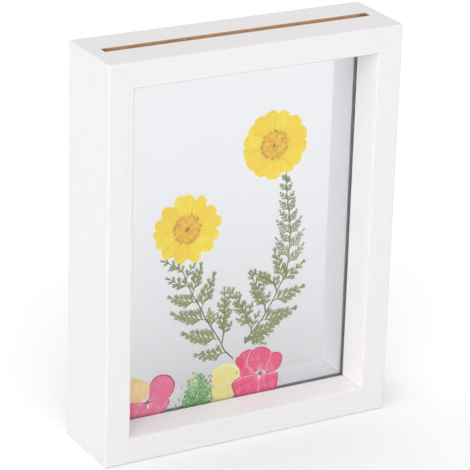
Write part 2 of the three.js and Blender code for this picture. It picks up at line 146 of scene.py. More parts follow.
def ripple(x: float, z: float, scale: float, seed: float = 0.0) -> float:
    """Smooth noise between about -1 and 1 at a place in millimetres."""
    return noise.noise(Vector((x * scale, seed, z * scale)))


def curve_through(points: Sequence[Point], steps: int) -> list[Point]:
    """Runs a smooth open curve through points.

    Args:
        points: the points that the curve passes through.
        steps: how many pieces each stretch between two points is cut into.

    Returns:
        The points along the curve, both ends included.
    """
    last = len(points) - 1
    line: list[Point] = []
    for i in range(last):
        before, start, end, after = (points[min(max(i + k, 0), last)] for k in (-1, 0, 1, 2))
        for step in range(steps):
            t = step / steps
            line.append(tuple(
                0.5 * (2 * b + (c - a) * t + (2 * a - 5 * b + 4 * c - d) * t**2
                       + (3 * b - a - 3 * c + d) * t**3)
                for a, b, c, d in zip(before, start, end, after)
            ))
    line.append(points[-1])
    return line


def point_along(line: Sequence[Point], amount: float) -> Point:
    """Finds the point that lies a fraction of the way along a line's points.

    Args:
        line: the line's points.
        amount: the fraction; less than 0 or more than 1 gives an end of the line.

    Returns:
        The point.
    """
    where = min(max(amount, 0.0), 1.0) * (len(line) - 1)
    i = min(int(where), len(line) - 2)
    (ax, az), (bx, bz) = line[i], line[i + 1]
    return (lerp(ax, bx, where - i), lerp(az, bz, where - i))


def nearest_on(line: Sequence[Point], point: Point) -> Point:
    """Finds the point of a line that is nearest to a given point.

    Args:
        line: the line's points.
        point: the given point.

    Returns:
        The nearest point, which need not be one of the line's own.
    """
    best, least = line[0], math.inf
    for (ax, az), (bx, bz) in zip(line, line[1:]):
        length = (bx - ax) ** 2 + (bz - az) ** 2
        t = min(1.0, max(0.0, ((point[0] - ax) * (bx - ax) + (point[1] - az) * (bz - az)) / length))
        foot = (lerp(ax, bx, t), lerp(az, bz, t))
        away = math.dist(foot, point)
        if away < least:
            best, least = foot, away
    return best


def beside(line: Sequence[Point], along: float, step: float, aside: float) -> Point:
    """Finds a point beside a line, square to the way that the line runs there.

    Args:
        line: the line's points.
        along: how far along the line it is, 0 to 1.
        step: how far ahead and behind the line's way is taken from.
        aside: how far to the left of the line it lies.

    Returns:
        The point.
    """
    x, z = point_along(line, along)
    (bx, bz), (ax, az) = point_along(line, along - step), point_along(line, along + step)
    span = math.hypot(ax - bx, az - bz)
    return (x - (az - bz) / span * aside, z + (ax - bx) / span * aside)


def set_out(start: Point, heading: float, far: float, aside: float, depth: float) -> Spot:
    """Sets out a spot from a start, ahead and to the left.

    Args:
        start: where it is set out from.
        heading: the way ahead, in radians up from +X.
        far: how far ahead it lies.
        aside: how far to the left it lies.
        depth: how far back it lies.

    Returns:
        Its x, y and z in millimetres.
    """
    return (start[0] + far * math.cos(heading) - aside * math.sin(heading), depth,
            start[1] + far * math.sin(heading) + aside * math.cos(heading))


# ---- pieces under construction ---------------------------------------------------------------------------


@dataclass(frozen=True)
class Layers:
    """The thin layers that the plants lie in between the panes, in millimetres from front to back."""

    first: float = -0.3525
    pitch: float = 0.125
    tissue: float = 0.03
    middle: float = 0.02

    def front(self, layer: int) -> float:
        """How far back a layer's tissue starts."""
        return self.first + layer * self.pitch + self.middle


LAYERS = Layers()


class Piece:
    """One object of the frame while its mesh is being made."""

    def __init__(self, name: str, slot: Slot, replaces: Sequence[str] = ()) -> None:
        """Starts an empty mesh.

        Args:
            name: the finished object's name.
            slot: the record's material slot that its finish belongs to; it is kept but not used.
            replaces: the CAD nodes that it stands for.
        """
        self.name = name
        self.slot = slot
        self.replaces = tuple(replaces)
        self.mesh = bmesh.new()
        self.uv = self.mesh.loops.layers.uv.new("UVMap")
        self.tone = self.mesh.verts.layers.float.new(TONE)

    def blade(self, across: int, along: int, place: Place, tone: float = 0.0) -> None:
        """Bends a flat grid into a blade of tissue that faces the front.

        Args:
            across: faces from side to side.
            along: faces from foot to tip.
            place: gives x, y and z in millimetres for a place across, -1 to 1, and along, 0 to 1.
            tone: the value that the blade's finish varies with.
        """
        grid = bmesh.ops.create_grid(self.mesh, x_segments=across, y_segments=along, size=1.0)["verts"]
        faces = {face for vert in grid for face in vert.link_faces}
        for vert in grid:
            side, reach = vert.co.x, (vert.co.y + 1) / 2
            for loop in vert.link_loops:
                loop[self.uv].uv = ((side + 1) / 2, reach)
            vert[self.tone] = tone
            vert.co = Vector(place(side, reach)) * MM
        for face in faces:
            face.normal_update()
            if face.normal.y > 0:
                face.normal_flip()
        bmesh.ops.remove_doubles(self.mesh, verts=grid, dist=MERGE_WITHIN)

    def seed(self, centre: Spot, size: Spot, turn: float = 0.0, tone: float = 0.0) -> None:
        """Adds a small flattened seed or floret.

        Args:
            centre: its middle, in millimetres.
            size: its half length, half depth and half width, in millimetres.
            turn: how far its length is turned up from +X, in radians.
            tone: the value that its finish varies with.
        """
        matrix = (
            Matrix.Translation(Vector(centre) * MM)
            @ Matrix.Rotation(-turn, 4, "Y")
            @ Matrix.Diagonal((*(part * MM for part in size), 1.0))
        )
        made = bmesh.ops.create_icosphere(self.mesh, subdivisions=1, radius=1.0, matrix=matrix)["verts"]
        for vert in made:
            vert[self.tone] = tone

    def thicken(self, thickness: float = LAYERS.tissue) -> None:
        """Gives every blade made so far a thickness, in millimetres, towards the back."""
        bmesh.ops.solidify(self.mesh, geom=self.mesh.faces[:], thickness=thickness * MM)

    def finish(self, material: bpy.types.Material) -> bpy.types.Object:
        """Makes the object, dresses it and hides the CAD nodes that it stands for.

        Args:
            material: its finish.

        Returns:
            The finished object, which rides on the frame.
        """
        bmesh.ops.recalc_face_normals(self.mesh, faces=self.mesh.faces[:])
        data = bpy.data.meshes.new(self.name)
        self.mesh.to_mesh(data)
        self.mesh.free()
        data.shade_smooth()
        data.set_sharp_from_angle(angle=SHARP_ANGLE)
        data.materials.append(material)
        piece = bpy.data.objects.new(self.name, data)
        bpy.context.scene.collection.objects.link(piece)
        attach(piece, BODY)
        if self.replaces:
            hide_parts(*self.replaces)
        log.info("%s: %d faces", self.name, len(data.polygons))
        return piece


# ---- materials -------------------------------------------------------------------------------------------


class Graph:
    """A node tree, built with short calls."""

    def __init__(self, tree: bpy.types.NodeTree) -> None:
        """Builds on a tree, which may hold nodes already."""
        self.tree = tree

    def node(self, kind: str, inputs: dict | None = None, **settings: object) -> bpy.types.Node:
        """Adds a node.

        Args:
            kind: the node's type.
            inputs: values or sockets for its inputs, by name or number.
            **settings: the node's own settings.

        Returns:
            The new node.
        """
        made = self.tree.nodes.new(kind)
        for key, value in settings.items():
            setattr(made, key, value)
        for key, value in (inputs or {}).items():
            self.put(made.inputs[key], value)
        return made

    def put(self, socket: bpy.types.NodeSocket, value: object) -> None:
        """Links a socket to an input, or sets the input's value.

        Args:
            socket: the input.
            value: the socket that feeds it, or its value.
        """
        if isinstance(value, bpy.types.NodeSocket):
            self.tree.links.new(value, socket)
        else:
            socket.default_value = value

    def math(self, operation: str, *values: object) -> bpy.types.NodeSocket:
        """The result of a sum on values or sockets."""
        return self.node("ShaderNodeMath", dict(enumerate(values)), operation=operation).outputs[0]

    def object_place(self, scale: Sequence[float] = (1.0, 1.0, 1.0)) -> bpy.types.NodeSocket:
        """The place on the piece, stretched by a scale."""
        place = self.node("ShaderNodeTexCoord").outputs["Object"]
        return self.node("ShaderNodeMapping", {"Vector": place, "Scale": scale}).outputs[0]

    def parts(self, vector: bpy.types.NodeSocket) -> tuple[bpy.types.NodeSocket, ...]:
        """The x, y and z of a vector."""
        return tuple(self.node("ShaderNodeSeparateXYZ", {0: vector}).outputs)

    def uv_place(self) -> tuple[bpy.types.NodeSocket, bpy.types.NodeSocket]:
        """How far across and along a blade a point is, 0 to 1 each."""
        place = self.node("ShaderNodeTexCoord").outputs["UV"]
        return self.parts(place)[:2]

    def attribute(self, name: str) -> bpy.types.NodeSocket:
        """A value that the mesh holds at its points."""
        return self.node("ShaderNodeAttribute", attribute_name=name).outputs["Fac"]

    def noise(self, vector: object, scale: float, detail: float = 3.0, rough: float = 0.55
              ) -> bpy.types.NodeSocket:
        """Noise of 0 to 1."""
        inputs = {"Vector": vector, "Scale": scale, "Detail": detail, "Roughness": rough}
        return self.node("ShaderNodeTexNoise", inputs).outputs["Fac"]

    def span(self, value: object, low: float, high: float) -> bpy.types.NodeSocket:
        """Makes a smooth rise from 0 at low to 1 at high.

        Args:
            value: the value or socket that it follows.
            low: where it is 0.
            high: where it is 1; under low, it falls instead.

        Returns:
            The socket that holds it.
        """
        inputs = {"Value": value, "From Min": low, "From Max": high}
        made = self.node("ShaderNodeMapRange", inputs, interpolation_type="SMOOTHSTEP")
        return made.outputs[0]

    def blend(self, amount: object, first: object, second: object) -> bpy.types.NodeSocket:
        """Blends two colours.

        Args:
            amount: how much of the second there is, as a value or a socket.
            first: the colour or socket at 0.
            second: the colour or socket at 1.

        Returns:
            The socket that holds the blend.
        """
        made = self.node("ShaderNodeMix", data_type="RGBA")
        for socket, value in zip((made.inputs[0], made.inputs[6], made.inputs[7]),
                                 (amount, first, second)):
            self.put(socket, value)
        return made.outputs[2]


class Skin(Graph):
    """A material's node tree."""

    def __init__(self, name: str) -> None:
        """Starts a material that holds one surface shader and its output.

        Args:
            name: the material's name.
        """
        self.material = bpy.data.materials.new(name)
        self.material.use_nodes = True
        super().__init__(self.material.node_tree)
        self.surface = self.tree.nodes["Principled BSDF"]

    def bump(self, height: object, distance: float, strength: float = 1.0) -> None:
        """Raises the surface by a height, over a distance in metres."""
        inputs = {"Height": height, "Distance": distance, "Strength": strength}
        self.put(self.surface.inputs["Normal"], self.node("ShaderNodeBump", inputs).outputs[0])

    def dress(self, **inputs: object) -> bpy.types.Material:
        """Sets the surface shader's inputs.

        Args:
            **inputs: a value or socket for each, with _ for a space in its name.

        Returns:
            The finished material.
        """
        for key, value in inputs.items():
            self.put(self.surface.inputs[key.replace("_", " ")], value)
        return self.material


@dataclass(frozen=True)
class PaintFinish:
    """Satin white paint on a member, with painted light in the recess and more of it behind the glass.

    The groove shows bare board in the top rail, and painted light, near white, in the other members.
    """

    grain: Grain
    # Painted light: by default the groove is near white, lighter than the paint, against its shade.
    inside: Colour = srgb(250, 249, 247)
    inside_dark: Colour = srgb(240, 238, 235)
    lip: float = 0.0
    colour: Colour = srgb(199, 197, 198)
    shade: Colour = srgb(196, 194, 195)
    # Painted light: the recess is coloured lighter than the paint, and lighter still behind the glass.
    recess_painted_light: Colour = srgb(237, 234, 236)
    behind: Colour = srgb(252, 250, 250)
    recess_half_width: float = (SIZES.half_opening + MARGIN) * MM
    recess_bottom: float = (SIZES.face - MARGIN) * MM
    recess_top: float = (SIZES.height - SIZES.face + MARGIN) * MM
    face_depth: float = (SIZES.depth / 2 - 2 * MARGIN) * MM
    groove_half_width: float = (SIZES.groove_width / 2 + 0.03) * MM
    groove_reach: float = (SIZES.half_opening + SIZES.groove_depth + 2 * MARGIN) * MM
    groove_floor: float = (SIZES.face - SIZES.groove_depth - MARGIN) * MM
    lip_width: float = 0.5 * MM
    slot_end: Span = (72.5 * MM, 76.0 * MM)
    stroke_scale: float = 1500.0
    stroke_edge: Span = (0.4, 0.65)
    fibre_scale: float = 2600.0
    fibre_edge: Span = (0.35, 0.7)
    fibre_stretch: Spot = (1.0, 1.0, 0.35)
    relief: float = 0.02 * MM
    relief_strength: float = 0.2
    roughness: float = 0.34
    stroke_roughness: float = 0.16
    bare_roughness: float = 0.45

    def material(self) -> bpy.types.Material:
        """Builds the finish.

        Returns:
            Its material.
        """
        graph = Skin(f"paint_{self.grain.name.lower()}_{'slot' if self.lip else 'groove'}")
        x, y, z = graph.parts(graph.object_place())
        across = graph.math("ABSOLUTE", x)
        depth = graph.math("ABSOLUTE", y)
        within = graph.math("LESS_THAN", across, self.groove_reach)
        above = graph.math("GREATER_THAN", z, self.groove_floor)
        reach = graph.math("MULTIPLY", within, above)
        groove_and_slot = graph.math("MULTIPLY", graph.math("LESS_THAN", depth, self.groove_half_width), reach)
        edge = graph.span(depth, self.groove_half_width + self.lip_width, self.groove_half_width)
        lip = graph.math("MULTIPLY", graph.math("MULTIPLY", edge, reach), self.lip)
        strokes = graph.noise(graph.object_place(self.grain.value), self.stroke_scale, 4.0)
        fibre = graph.noise(graph.object_place(self.fibre_stretch), self.fibre_scale, 4.0, 0.7)
        end = graph.span(across, *self.slot_end)
        painted = graph.blend(graph.span(strokes, *self.stroke_edge), self.colour, self.shade)
        in_width = graph.math("LESS_THAN", across, self.recess_half_width)
        in_height = graph.math("MULTIPLY", graph.math("GREATER_THAN", z, self.recess_bottom),
                               graph.math("LESS_THAN", z, self.recess_top))
        # Mask of the recess, where painted light lightens the paint, most of all behind the glass.
        recess_painted_light = graph.math("MULTIPLY", graph.math("LESS_THAN", depth, self.face_depth),
                            graph.math("MULTIPLY", in_width, in_height))
        painted_recess_light = graph.blend(graph.math("GREATER_THAN", y, 0.0), self.recess_painted_light, self.behind)
        painted = graph.blend(recess_painted_light, painted, painted_recess_light)
        painted = graph.blend(lip, painted, self.inside)
        # Bare tan board in the top rail; elsewhere this near white colour is painted light in the groove.
        board_and_painted_light = graph.blend(graph.span(fibre, *self.fibre_edge), self.inside, self.inside_dark)
        board_and_painted_light = graph.blend(graph.math("MULTIPLY", end, 0.8), board_and_painted_light, self.inside_dark)
        height = graph.math("ADD", strokes, graph.math("MULTIPLY", fibre, 0.3))
        graph.bump(height, self.relief, self.relief_strength)
        rough = graph.math("ADD", graph.math("MULTIPLY", groove_and_slot, self.bare_roughness),
                           graph.math("MULTIPLY", strokes, self.stroke_roughness))
        return graph.dress(Base_Color=graph.blend(groove_and_slot, painted, board_and_painted_light),
                           Roughness=graph.math("ADD", rough, self.roughness), Specular_IOR_Level=0.4)


@dataclass(frozen=True)
class GlassFinish:
    """Float glass, faintly blue where much of it is looked through."""

    name: str
    density: float
    ior: float = 1.5
    tint: Colour = (0.50, 0.52, 0.59, 1.0)
    smear_scale: float = 60.0
    smears: Span = (0.62, 0.9)
    smear_roughness: float = 0.02

    def material(self) -> bpy.types.Material:
        """Builds the finish.

        Returns:
            Its material.
        """
        graph = Skin(self.name)
        smear = graph.noise(graph.object_place(), self.smear_scale)
        absorb = graph.node("ShaderNodeVolumeAbsorption", {"Color": self.tint, "Density": self.density})
        out = graph.tree.nodes["Material Output"]
        graph.put(out.inputs["Volume"], absorb.outputs[0])
        rough = graph.math("MULTIPLY", graph.span(smear, *self.smears), self.smear_roughness)
        return graph.dress(Base_Color=(1.0, 1.0, 1.0, 1.0), Transmission_Weight=1.0, IOR=self.ior,
                           Roughness=rough)


@dataclass(frozen=True)
class PetalFinish:
    """A dry petal: colours from foot to rim, veins along it, and on some painted shade at its sides."""

    name: str
    foot: Colour
    body: Colour
    rim: Colour
    vein: Colour
    patch: Colour
    fold: Colour = srgb(255, 190, 206)
    # Painted shade: a darker side colour for the shade between neighbouring petals.
    side: Colour = srgb(238, 186, 24)
    fold_depth: float = 0.8
    veins: float = 9.0
    vein_depth: float = 0.45
    patches: float = 0.5
    patch_size: float = 330.0
    patch_edge: Span = (0.46, 0.66)
    rim_from: float = 0.93
    painted_side_shade: float = 0.0
    side_edge: Span = (0.44, 0.5)
    foot_until: float = 0.4
    warp: float = 0.09
    warp_scale: float = 420.0
    vein_sharpness: float = 9.0
    fine_veins: float = 2.6
    fine_from: Span = (0.15, 0.6)
    fine_depth: float = 0.6
    crepe_scale: float = 2400.0
    relief: float = 0.05 * MM
    roughness: float = 0.5
    crepe_roughness: float = 0.2

    def material(self) -> bpy.types.Material:
        """Builds the finish.

        Returns:
            Its material.
        """
        graph = Skin(self.name)
        across, along = graph.uv_place()
        place = graph.object_place()
        drift = graph.math("SUBTRACT", graph.noise(place, self.warp_scale), 0.5)
        warp = graph.math("MULTIPLY", drift, self.warp)
        bent = graph.math("ADD", across, warp)
        coarse = self.vein_lines(graph, bent, self.veins)
        fine = graph.math("MULTIPLY", self.vein_lines(graph, bent, self.veins * self.fine_veins),
                          graph.span(along, *self.fine_from))
        lines = graph.math("MAXIMUM", coarse, graph.math("MULTIPLY", fine, self.fine_depth))
        edge = graph.span(graph.math("ADD", along, warp), self.rim_from, 1.0)
        base = graph.blend(graph.span(along, 0.0, self.foot_until), self.foot, self.body)
        patch = graph.span(graph.noise(place, self.patch_size, 2.0), *self.patch_edge)
        base = graph.blend(graph.math("MULTIPLY", patch, self.patches), base, self.patch)
        base = graph.blend(graph.math("MULTIPLY", lines, self.vein_depth), base, self.vein)
        base = graph.blend(edge, base, self.rim)
        # Painted shade: the petal's sides are darkened towards the side colour.
        if self.painted_side_shade:
            away = graph.math("ABSOLUTE", graph.math("SUBTRACT", across, 0.5))
            side = graph.math("MULTIPLY", graph.span(away, *self.side_edge), self.painted_side_shade)
            base = graph.blend(side, base, self.side)
        fold = graph.math("MULTIPLY", graph.attribute(TONE), self.fold_depth)
        base = graph.blend(fold, base, self.fold)
        crepe = graph.noise(place, self.crepe_scale, 4.0, 0.65)
        height = graph.math("ADD", graph.math("MULTIPLY", lines, 0.6), graph.math("MULTIPLY", crepe, 0.6))
        graph.bump(height, self.relief, 0.7)
        rough = graph.math("ADD", graph.math("MULTIPLY", crepe, self.crepe_roughness), self.roughness)
        return graph.dress(Base_Color=base, Specular_IOR_Level=0.25, Roughness=rough)

    def vein_lines(self, graph: Graph, across: object, count: float) -> bpy.types.NodeSocket:
        """Narrow lines, a number of them from side to side, 1 on each and 0 between."""
        wave = graph.math("ABSOLUTE", graph.math("SINE", graph.math("MULTIPLY", across, math.pi * count)))
        return graph.math("POWER", wave, self.vein_sharpness)


@dataclass(frozen=True)
class TissueFinish:
    """Dry tissue whose colour goes with each part's own tone, mottled and finely wrinkled."""

    name: str
    low: Colour
    middle: Colour
    high: Colour
    fleck: Colour
    flecks: float = 0.4
    fleck_size: float = 1400.0
    fleck_edge: Span = (0.5, 0.66)
    relief: float = 0.05 * MM
    edge: float = 0.0
    edge_sides: Span = (0.3, 0.5)
    edge_tip: Span = (0.8, 1.0)
    crepe_scale: float = 3200.0
    roughness: float = 0.55
    crepe_roughness: float = 0.2

    def material(self) -> bpy.types.Material:
        """Builds the finish.

        Returns:
            Its material.
        """
        graph = Skin(self.name)
        place = graph.object_place()
        tone = graph.attribute(TONE)
        base = graph.blend(graph.span(tone, 0.0, 0.5), self.low, self.middle)
        base = graph.blend(graph.span(tone, 0.5, 1.0), base, self.high)
        fleck = graph.span(graph.noise(place, self.fleck_size), *self.fleck_edge)
        base = graph.blend(graph.math("MULTIPLY", fleck, self.flecks), base, self.fleck)
        if self.edge:
            across, along = graph.uv_place()
            away = graph.math("ABSOLUTE", graph.math("SUBTRACT", across, 0.5))
            rim = graph.math("MAXIMUM", graph.span(away, *self.edge_sides),
                             graph.span(along, *self.edge_tip))
            base = graph.blend(graph.math("MULTIPLY", rim, self.edge), base, self.high)
        crepe = graph.noise(place, self.crepe_scale, 4.0, 0.65)
        graph.bump(crepe, self.relief, 0.6)
        rough = graph.math("ADD", graph.math("MULTIPLY", crepe, self.crepe_roughness), self.roughness)
        return graph.dress(Base_Color=base, Specular_IOR_Level=0.25, Roughness=rough)


# The rays' darker sides are painted shade between neighbouring rays.
RAY_FINISH = PetalFinish("ray_yellow", foot=srgb(252, 216, 62), body=srgb(255, 234, 36),
                         rim=srgb(255, 246, 132), vein=srgb(255, 202, 10), patch=srgb(255, 246, 84),
                         fold=srgb(255, 208, 30), side=srgb(236, 184, 16), fold_depth=0.5, veins=5.0,
                         vein_depth=0.55, patches=0.7, patch_size=260.0, rim_from=0.93, painted_side_shade=0.65)
PINK_FINISH = PetalFinish("petal_pink", foot=srgb(250, 172, 196), body=srgb(247, 82, 136),
                          rim=srgb(200, 40, 84), vein=srgb(226, 38, 96), patch=srgb(250, 132, 174),
                          veins=13.0, vein_depth=0.55, patches=0.75, patch_size=210.0)
RED_FINISH = PetalFinish("petal_red", foot=srgb(240, 70, 110), body=srgb(238, 46, 94),
                         rim=srgb(170, 30, 60), vein=srgb(200, 28, 70), patch=srgb(246, 80, 124),
                         veins=9.0, vein_depth=0.5)
MAGENTA_FINISH = PetalFinish("petal_magenta", foot=srgb(252, 142, 178), body=srgb(250, 110, 154),
                             rim=srgb(178, 50, 90), vein=srgb(220, 68, 120), patch=srgb(242, 134, 190),
                             veins=13.0, vein_depth=0.5, patches=0.8, patch_size=120.0, rim_from=0.9)
ROSE_FINISH = PetalFinish("petal_rose", foot=srgb(255, 168, 198), body=srgb(255, 118, 158),
                          rim=srgb(200, 68, 102), vein=srgb(226, 72, 116), patch=srgb(255, 168, 198),
                          veins=12.0, vein_depth=0.5, patches=0.75, patch_size=200.0)
CREAM_FINISH = PetalFinish("petal_cream", foot=srgb(255, 212, 122), body=srgb(255, 230, 162),
                           rim=srgb(255, 206, 190), vein=srgb(248, 192, 108), patch=srgb(255, 206, 162),
                           veins=10.0, vein_depth=0.4, rim_from=0.86, patches=0.7, patch_size=150.0)
PALE_YELLOW_FINISH = PetalFinish("petal_pale_yellow", foot=srgb(246, 228, 140), body=srgb(243, 237, 158),
                                 rim=srgb(250, 248, 188), vein=srgb(240, 220, 104),
                                 patch=srgb(246, 226, 118), fold=srgb(252, 244, 198), veins=11.0,
                                 vein_depth=0.4, patches=0.6, patch_size=170.0, rim_from=0.84)
DISC_FINISH = TissueFinish("disc_florets", low=srgb(255, 226, 58), middle=srgb(246, 184, 24),
                           high=srgb(116, 98, 38), fleck=srgb(216, 148, 20), flecks=0.35, relief=0.06 * MM)
FERN_FINISH = TissueFinish("fern_tissue", low=srgb(148, 164, 84), middle=srgb(126, 140, 82),
                           high=srgb(100, 102, 88), fleck=srgb(176, 190, 112), flecks=0.4, edge=0.7)
LACE_FINISH = TissueFinish("lace_florets", low=srgb(60, 142, 66), middle=srgb(142, 200, 92),
                           high=srgb(240, 228, 72), fleck=srgb(52, 112, 52), flecks=0.4, fleck_size=1100.0)
STAMEN_FINISH = TissueFinish("dry_stamens", low=srgb(176, 136, 60), middle=srgb(140, 104, 48),
                             high=srgb(90, 68, 34), fleck=srgb(190, 156, 92))
EYE_FINISH = TissueFinish("flower_eye", low=srgb(150, 84, 104), middle=srgb(176, 112, 128),
                          high=srgb(255, 252, 254), fleck=srgb(120, 84, 92), flecks=0.2)


class Palette:
    """Every finish as a material, made once and handed out by the finish that describes it."""

    def __init__(self) -> None:
        """Starts with nothing made."""
        self.made: dict[object, bpy.types.Material] = {}

    def of(self, finish: object) -> bpy.types.Material:
        """Finds or makes the material of a finish.

        Args:
            finish: the finish, which has a material method.

        Returns:
            Its material.
        """
        if finish not in self.made:
            self.made[finish] = finish.material()
        return self.made[finish]


PALETTE = Palette()


# ---- the wooden frame and its panes ----------------------------------------------------------------------


@dataclass
class BoxFrame:
    """The four painted members and the two panes, whose CAD solids are kept, and the members' joints."""

    sizes: FrameSizes = SIZES
    arris: float = 1.0
    joint_thickness: float = 0.19
    joint_recess: float = 0.08
    front_density: float = 6.0
    back_density: float = 200.0

    def build(self) -> None:
        """Dresses the members and panes, and closes the mitres."""
        # The plain members keep the near white groove, which is painted light against the groove's shade.
        along = PaintFinish(Grain.ALONG_X)
        upright = PaintFinish(Grain.ALONG_Z)
        slotted = PaintFinish(Grain.ALONG_X, inside=srgb(196, 160, 122), inside_dark=srgb(116, 84, 56),
                              lip=0.75)
        finishes = {"bottom_rail": along, "top_rail": slotted, "left_stile": upright,
                    "right_stile": upright}
        for name, finish in finishes.items():
            self.dress(name, PALETTE.of(finish), Slot.PAINT)
        self.dress("front_glass", PALETTE.of(GlassFinish("front_pane", self.front_density)), Slot.GLASS)
        self.dress("back_glass", PALETTE.of(GlassFinish("back_pane", self.back_density)), Slot.GLASS)
        for upper in (False, True):
            for side in (-1, 1):
                self.build_joint(side, upper, PALETTE.of(upright))

    @staticmethod
    def dress(name: str, material: bpy.types.Material, slot: Slot) -> None:
        """Gives a CAD node's object its finish.

        Args:
            name: the node's name.
            material: its finish.
            slot: the record's material slot that the finish belongs to; not used.
        """
        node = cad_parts[name]
        node.data.materials.clear()
        node.data.materials.append(material)
        log.info("%s: dressed", name)

    def build_joint(self, side: int, upper: bool, material: bpy.types.Material) -> None:
        """Fills one mitre with glue and paint, almost flush, and leaves the groove open.

        Args:
            side: -1 for the left, 1 for the right.
            upper: whether it is a top corner.
            material: the members' paint.
        """
        piece = Piece(f"{'top' if upper else 'bottom'}_{'left' if side < 0 else 'right'}_joint", Slot.PAINT)
        lip = self.sizes.groove_width / 2 + MARGIN
        front = self.sizes.depth / 2 - self.joint_recess
        inner = self.sizes.face - self.joint_recess
        floor = inner - self.sizes.groove_depth
        for near, far, deep in ((-front, -lip, inner), (lip, front, inner), (-2 * lip, 2 * lip, floor)):
            self.add_filling(piece, side, upper, (near, far), deep)
        piece.finish(material)

    def add_filling(self, piece: Piece, side: int, upper: bool, span: Span, deep: float) -> None:
        """Adds one upright plate in a mitre's gap.

        Args:
            piece: the joint.
            side: -1 for the left, 1 for the right.
            upper: whether it is a top corner.
            span: how far front and back it reaches.
            deep: how far in from the frame's outer faces it reaches.
        """
        middle_in = (self.joint_recess + deep) / 2
        length = (deep - self.joint_recess) * math.sqrt(2)
        level = self.sizes.height - middle_in if upper else middle_in
        turn = math.radians(45) * side * (1 if upper else -1)
        matrix = (
            Matrix.Translation(Vector((side * (self.sizes.width / 2 - middle_in), sum(span) / 2, level)) * MM)
            @ Matrix.Rotation(-turn, 4, "Y")
            @ Matrix.Diagonal((length * MM, (span[1] - span[0]) * MM, self.joint_thickness * MM, 1.0))
        )
        made = bmesh.ops.create_cube(piece.mesh, size=1.0, matrix=matrix)["verts"]
        thinnest = self.joint_thickness * MM * 1.01
        corners = {edge for vert in made for edge in vert.link_edges if edge.calc_length() < thinnest}
        bmesh.ops.bevel(piece.mesh, geom=list(corners), offset=self.arris * MM, segments=3, profile=0.5,
                        affect="EDGES", material=-1)


# ---- daisies ---------------------------------------------------------------------------------------------


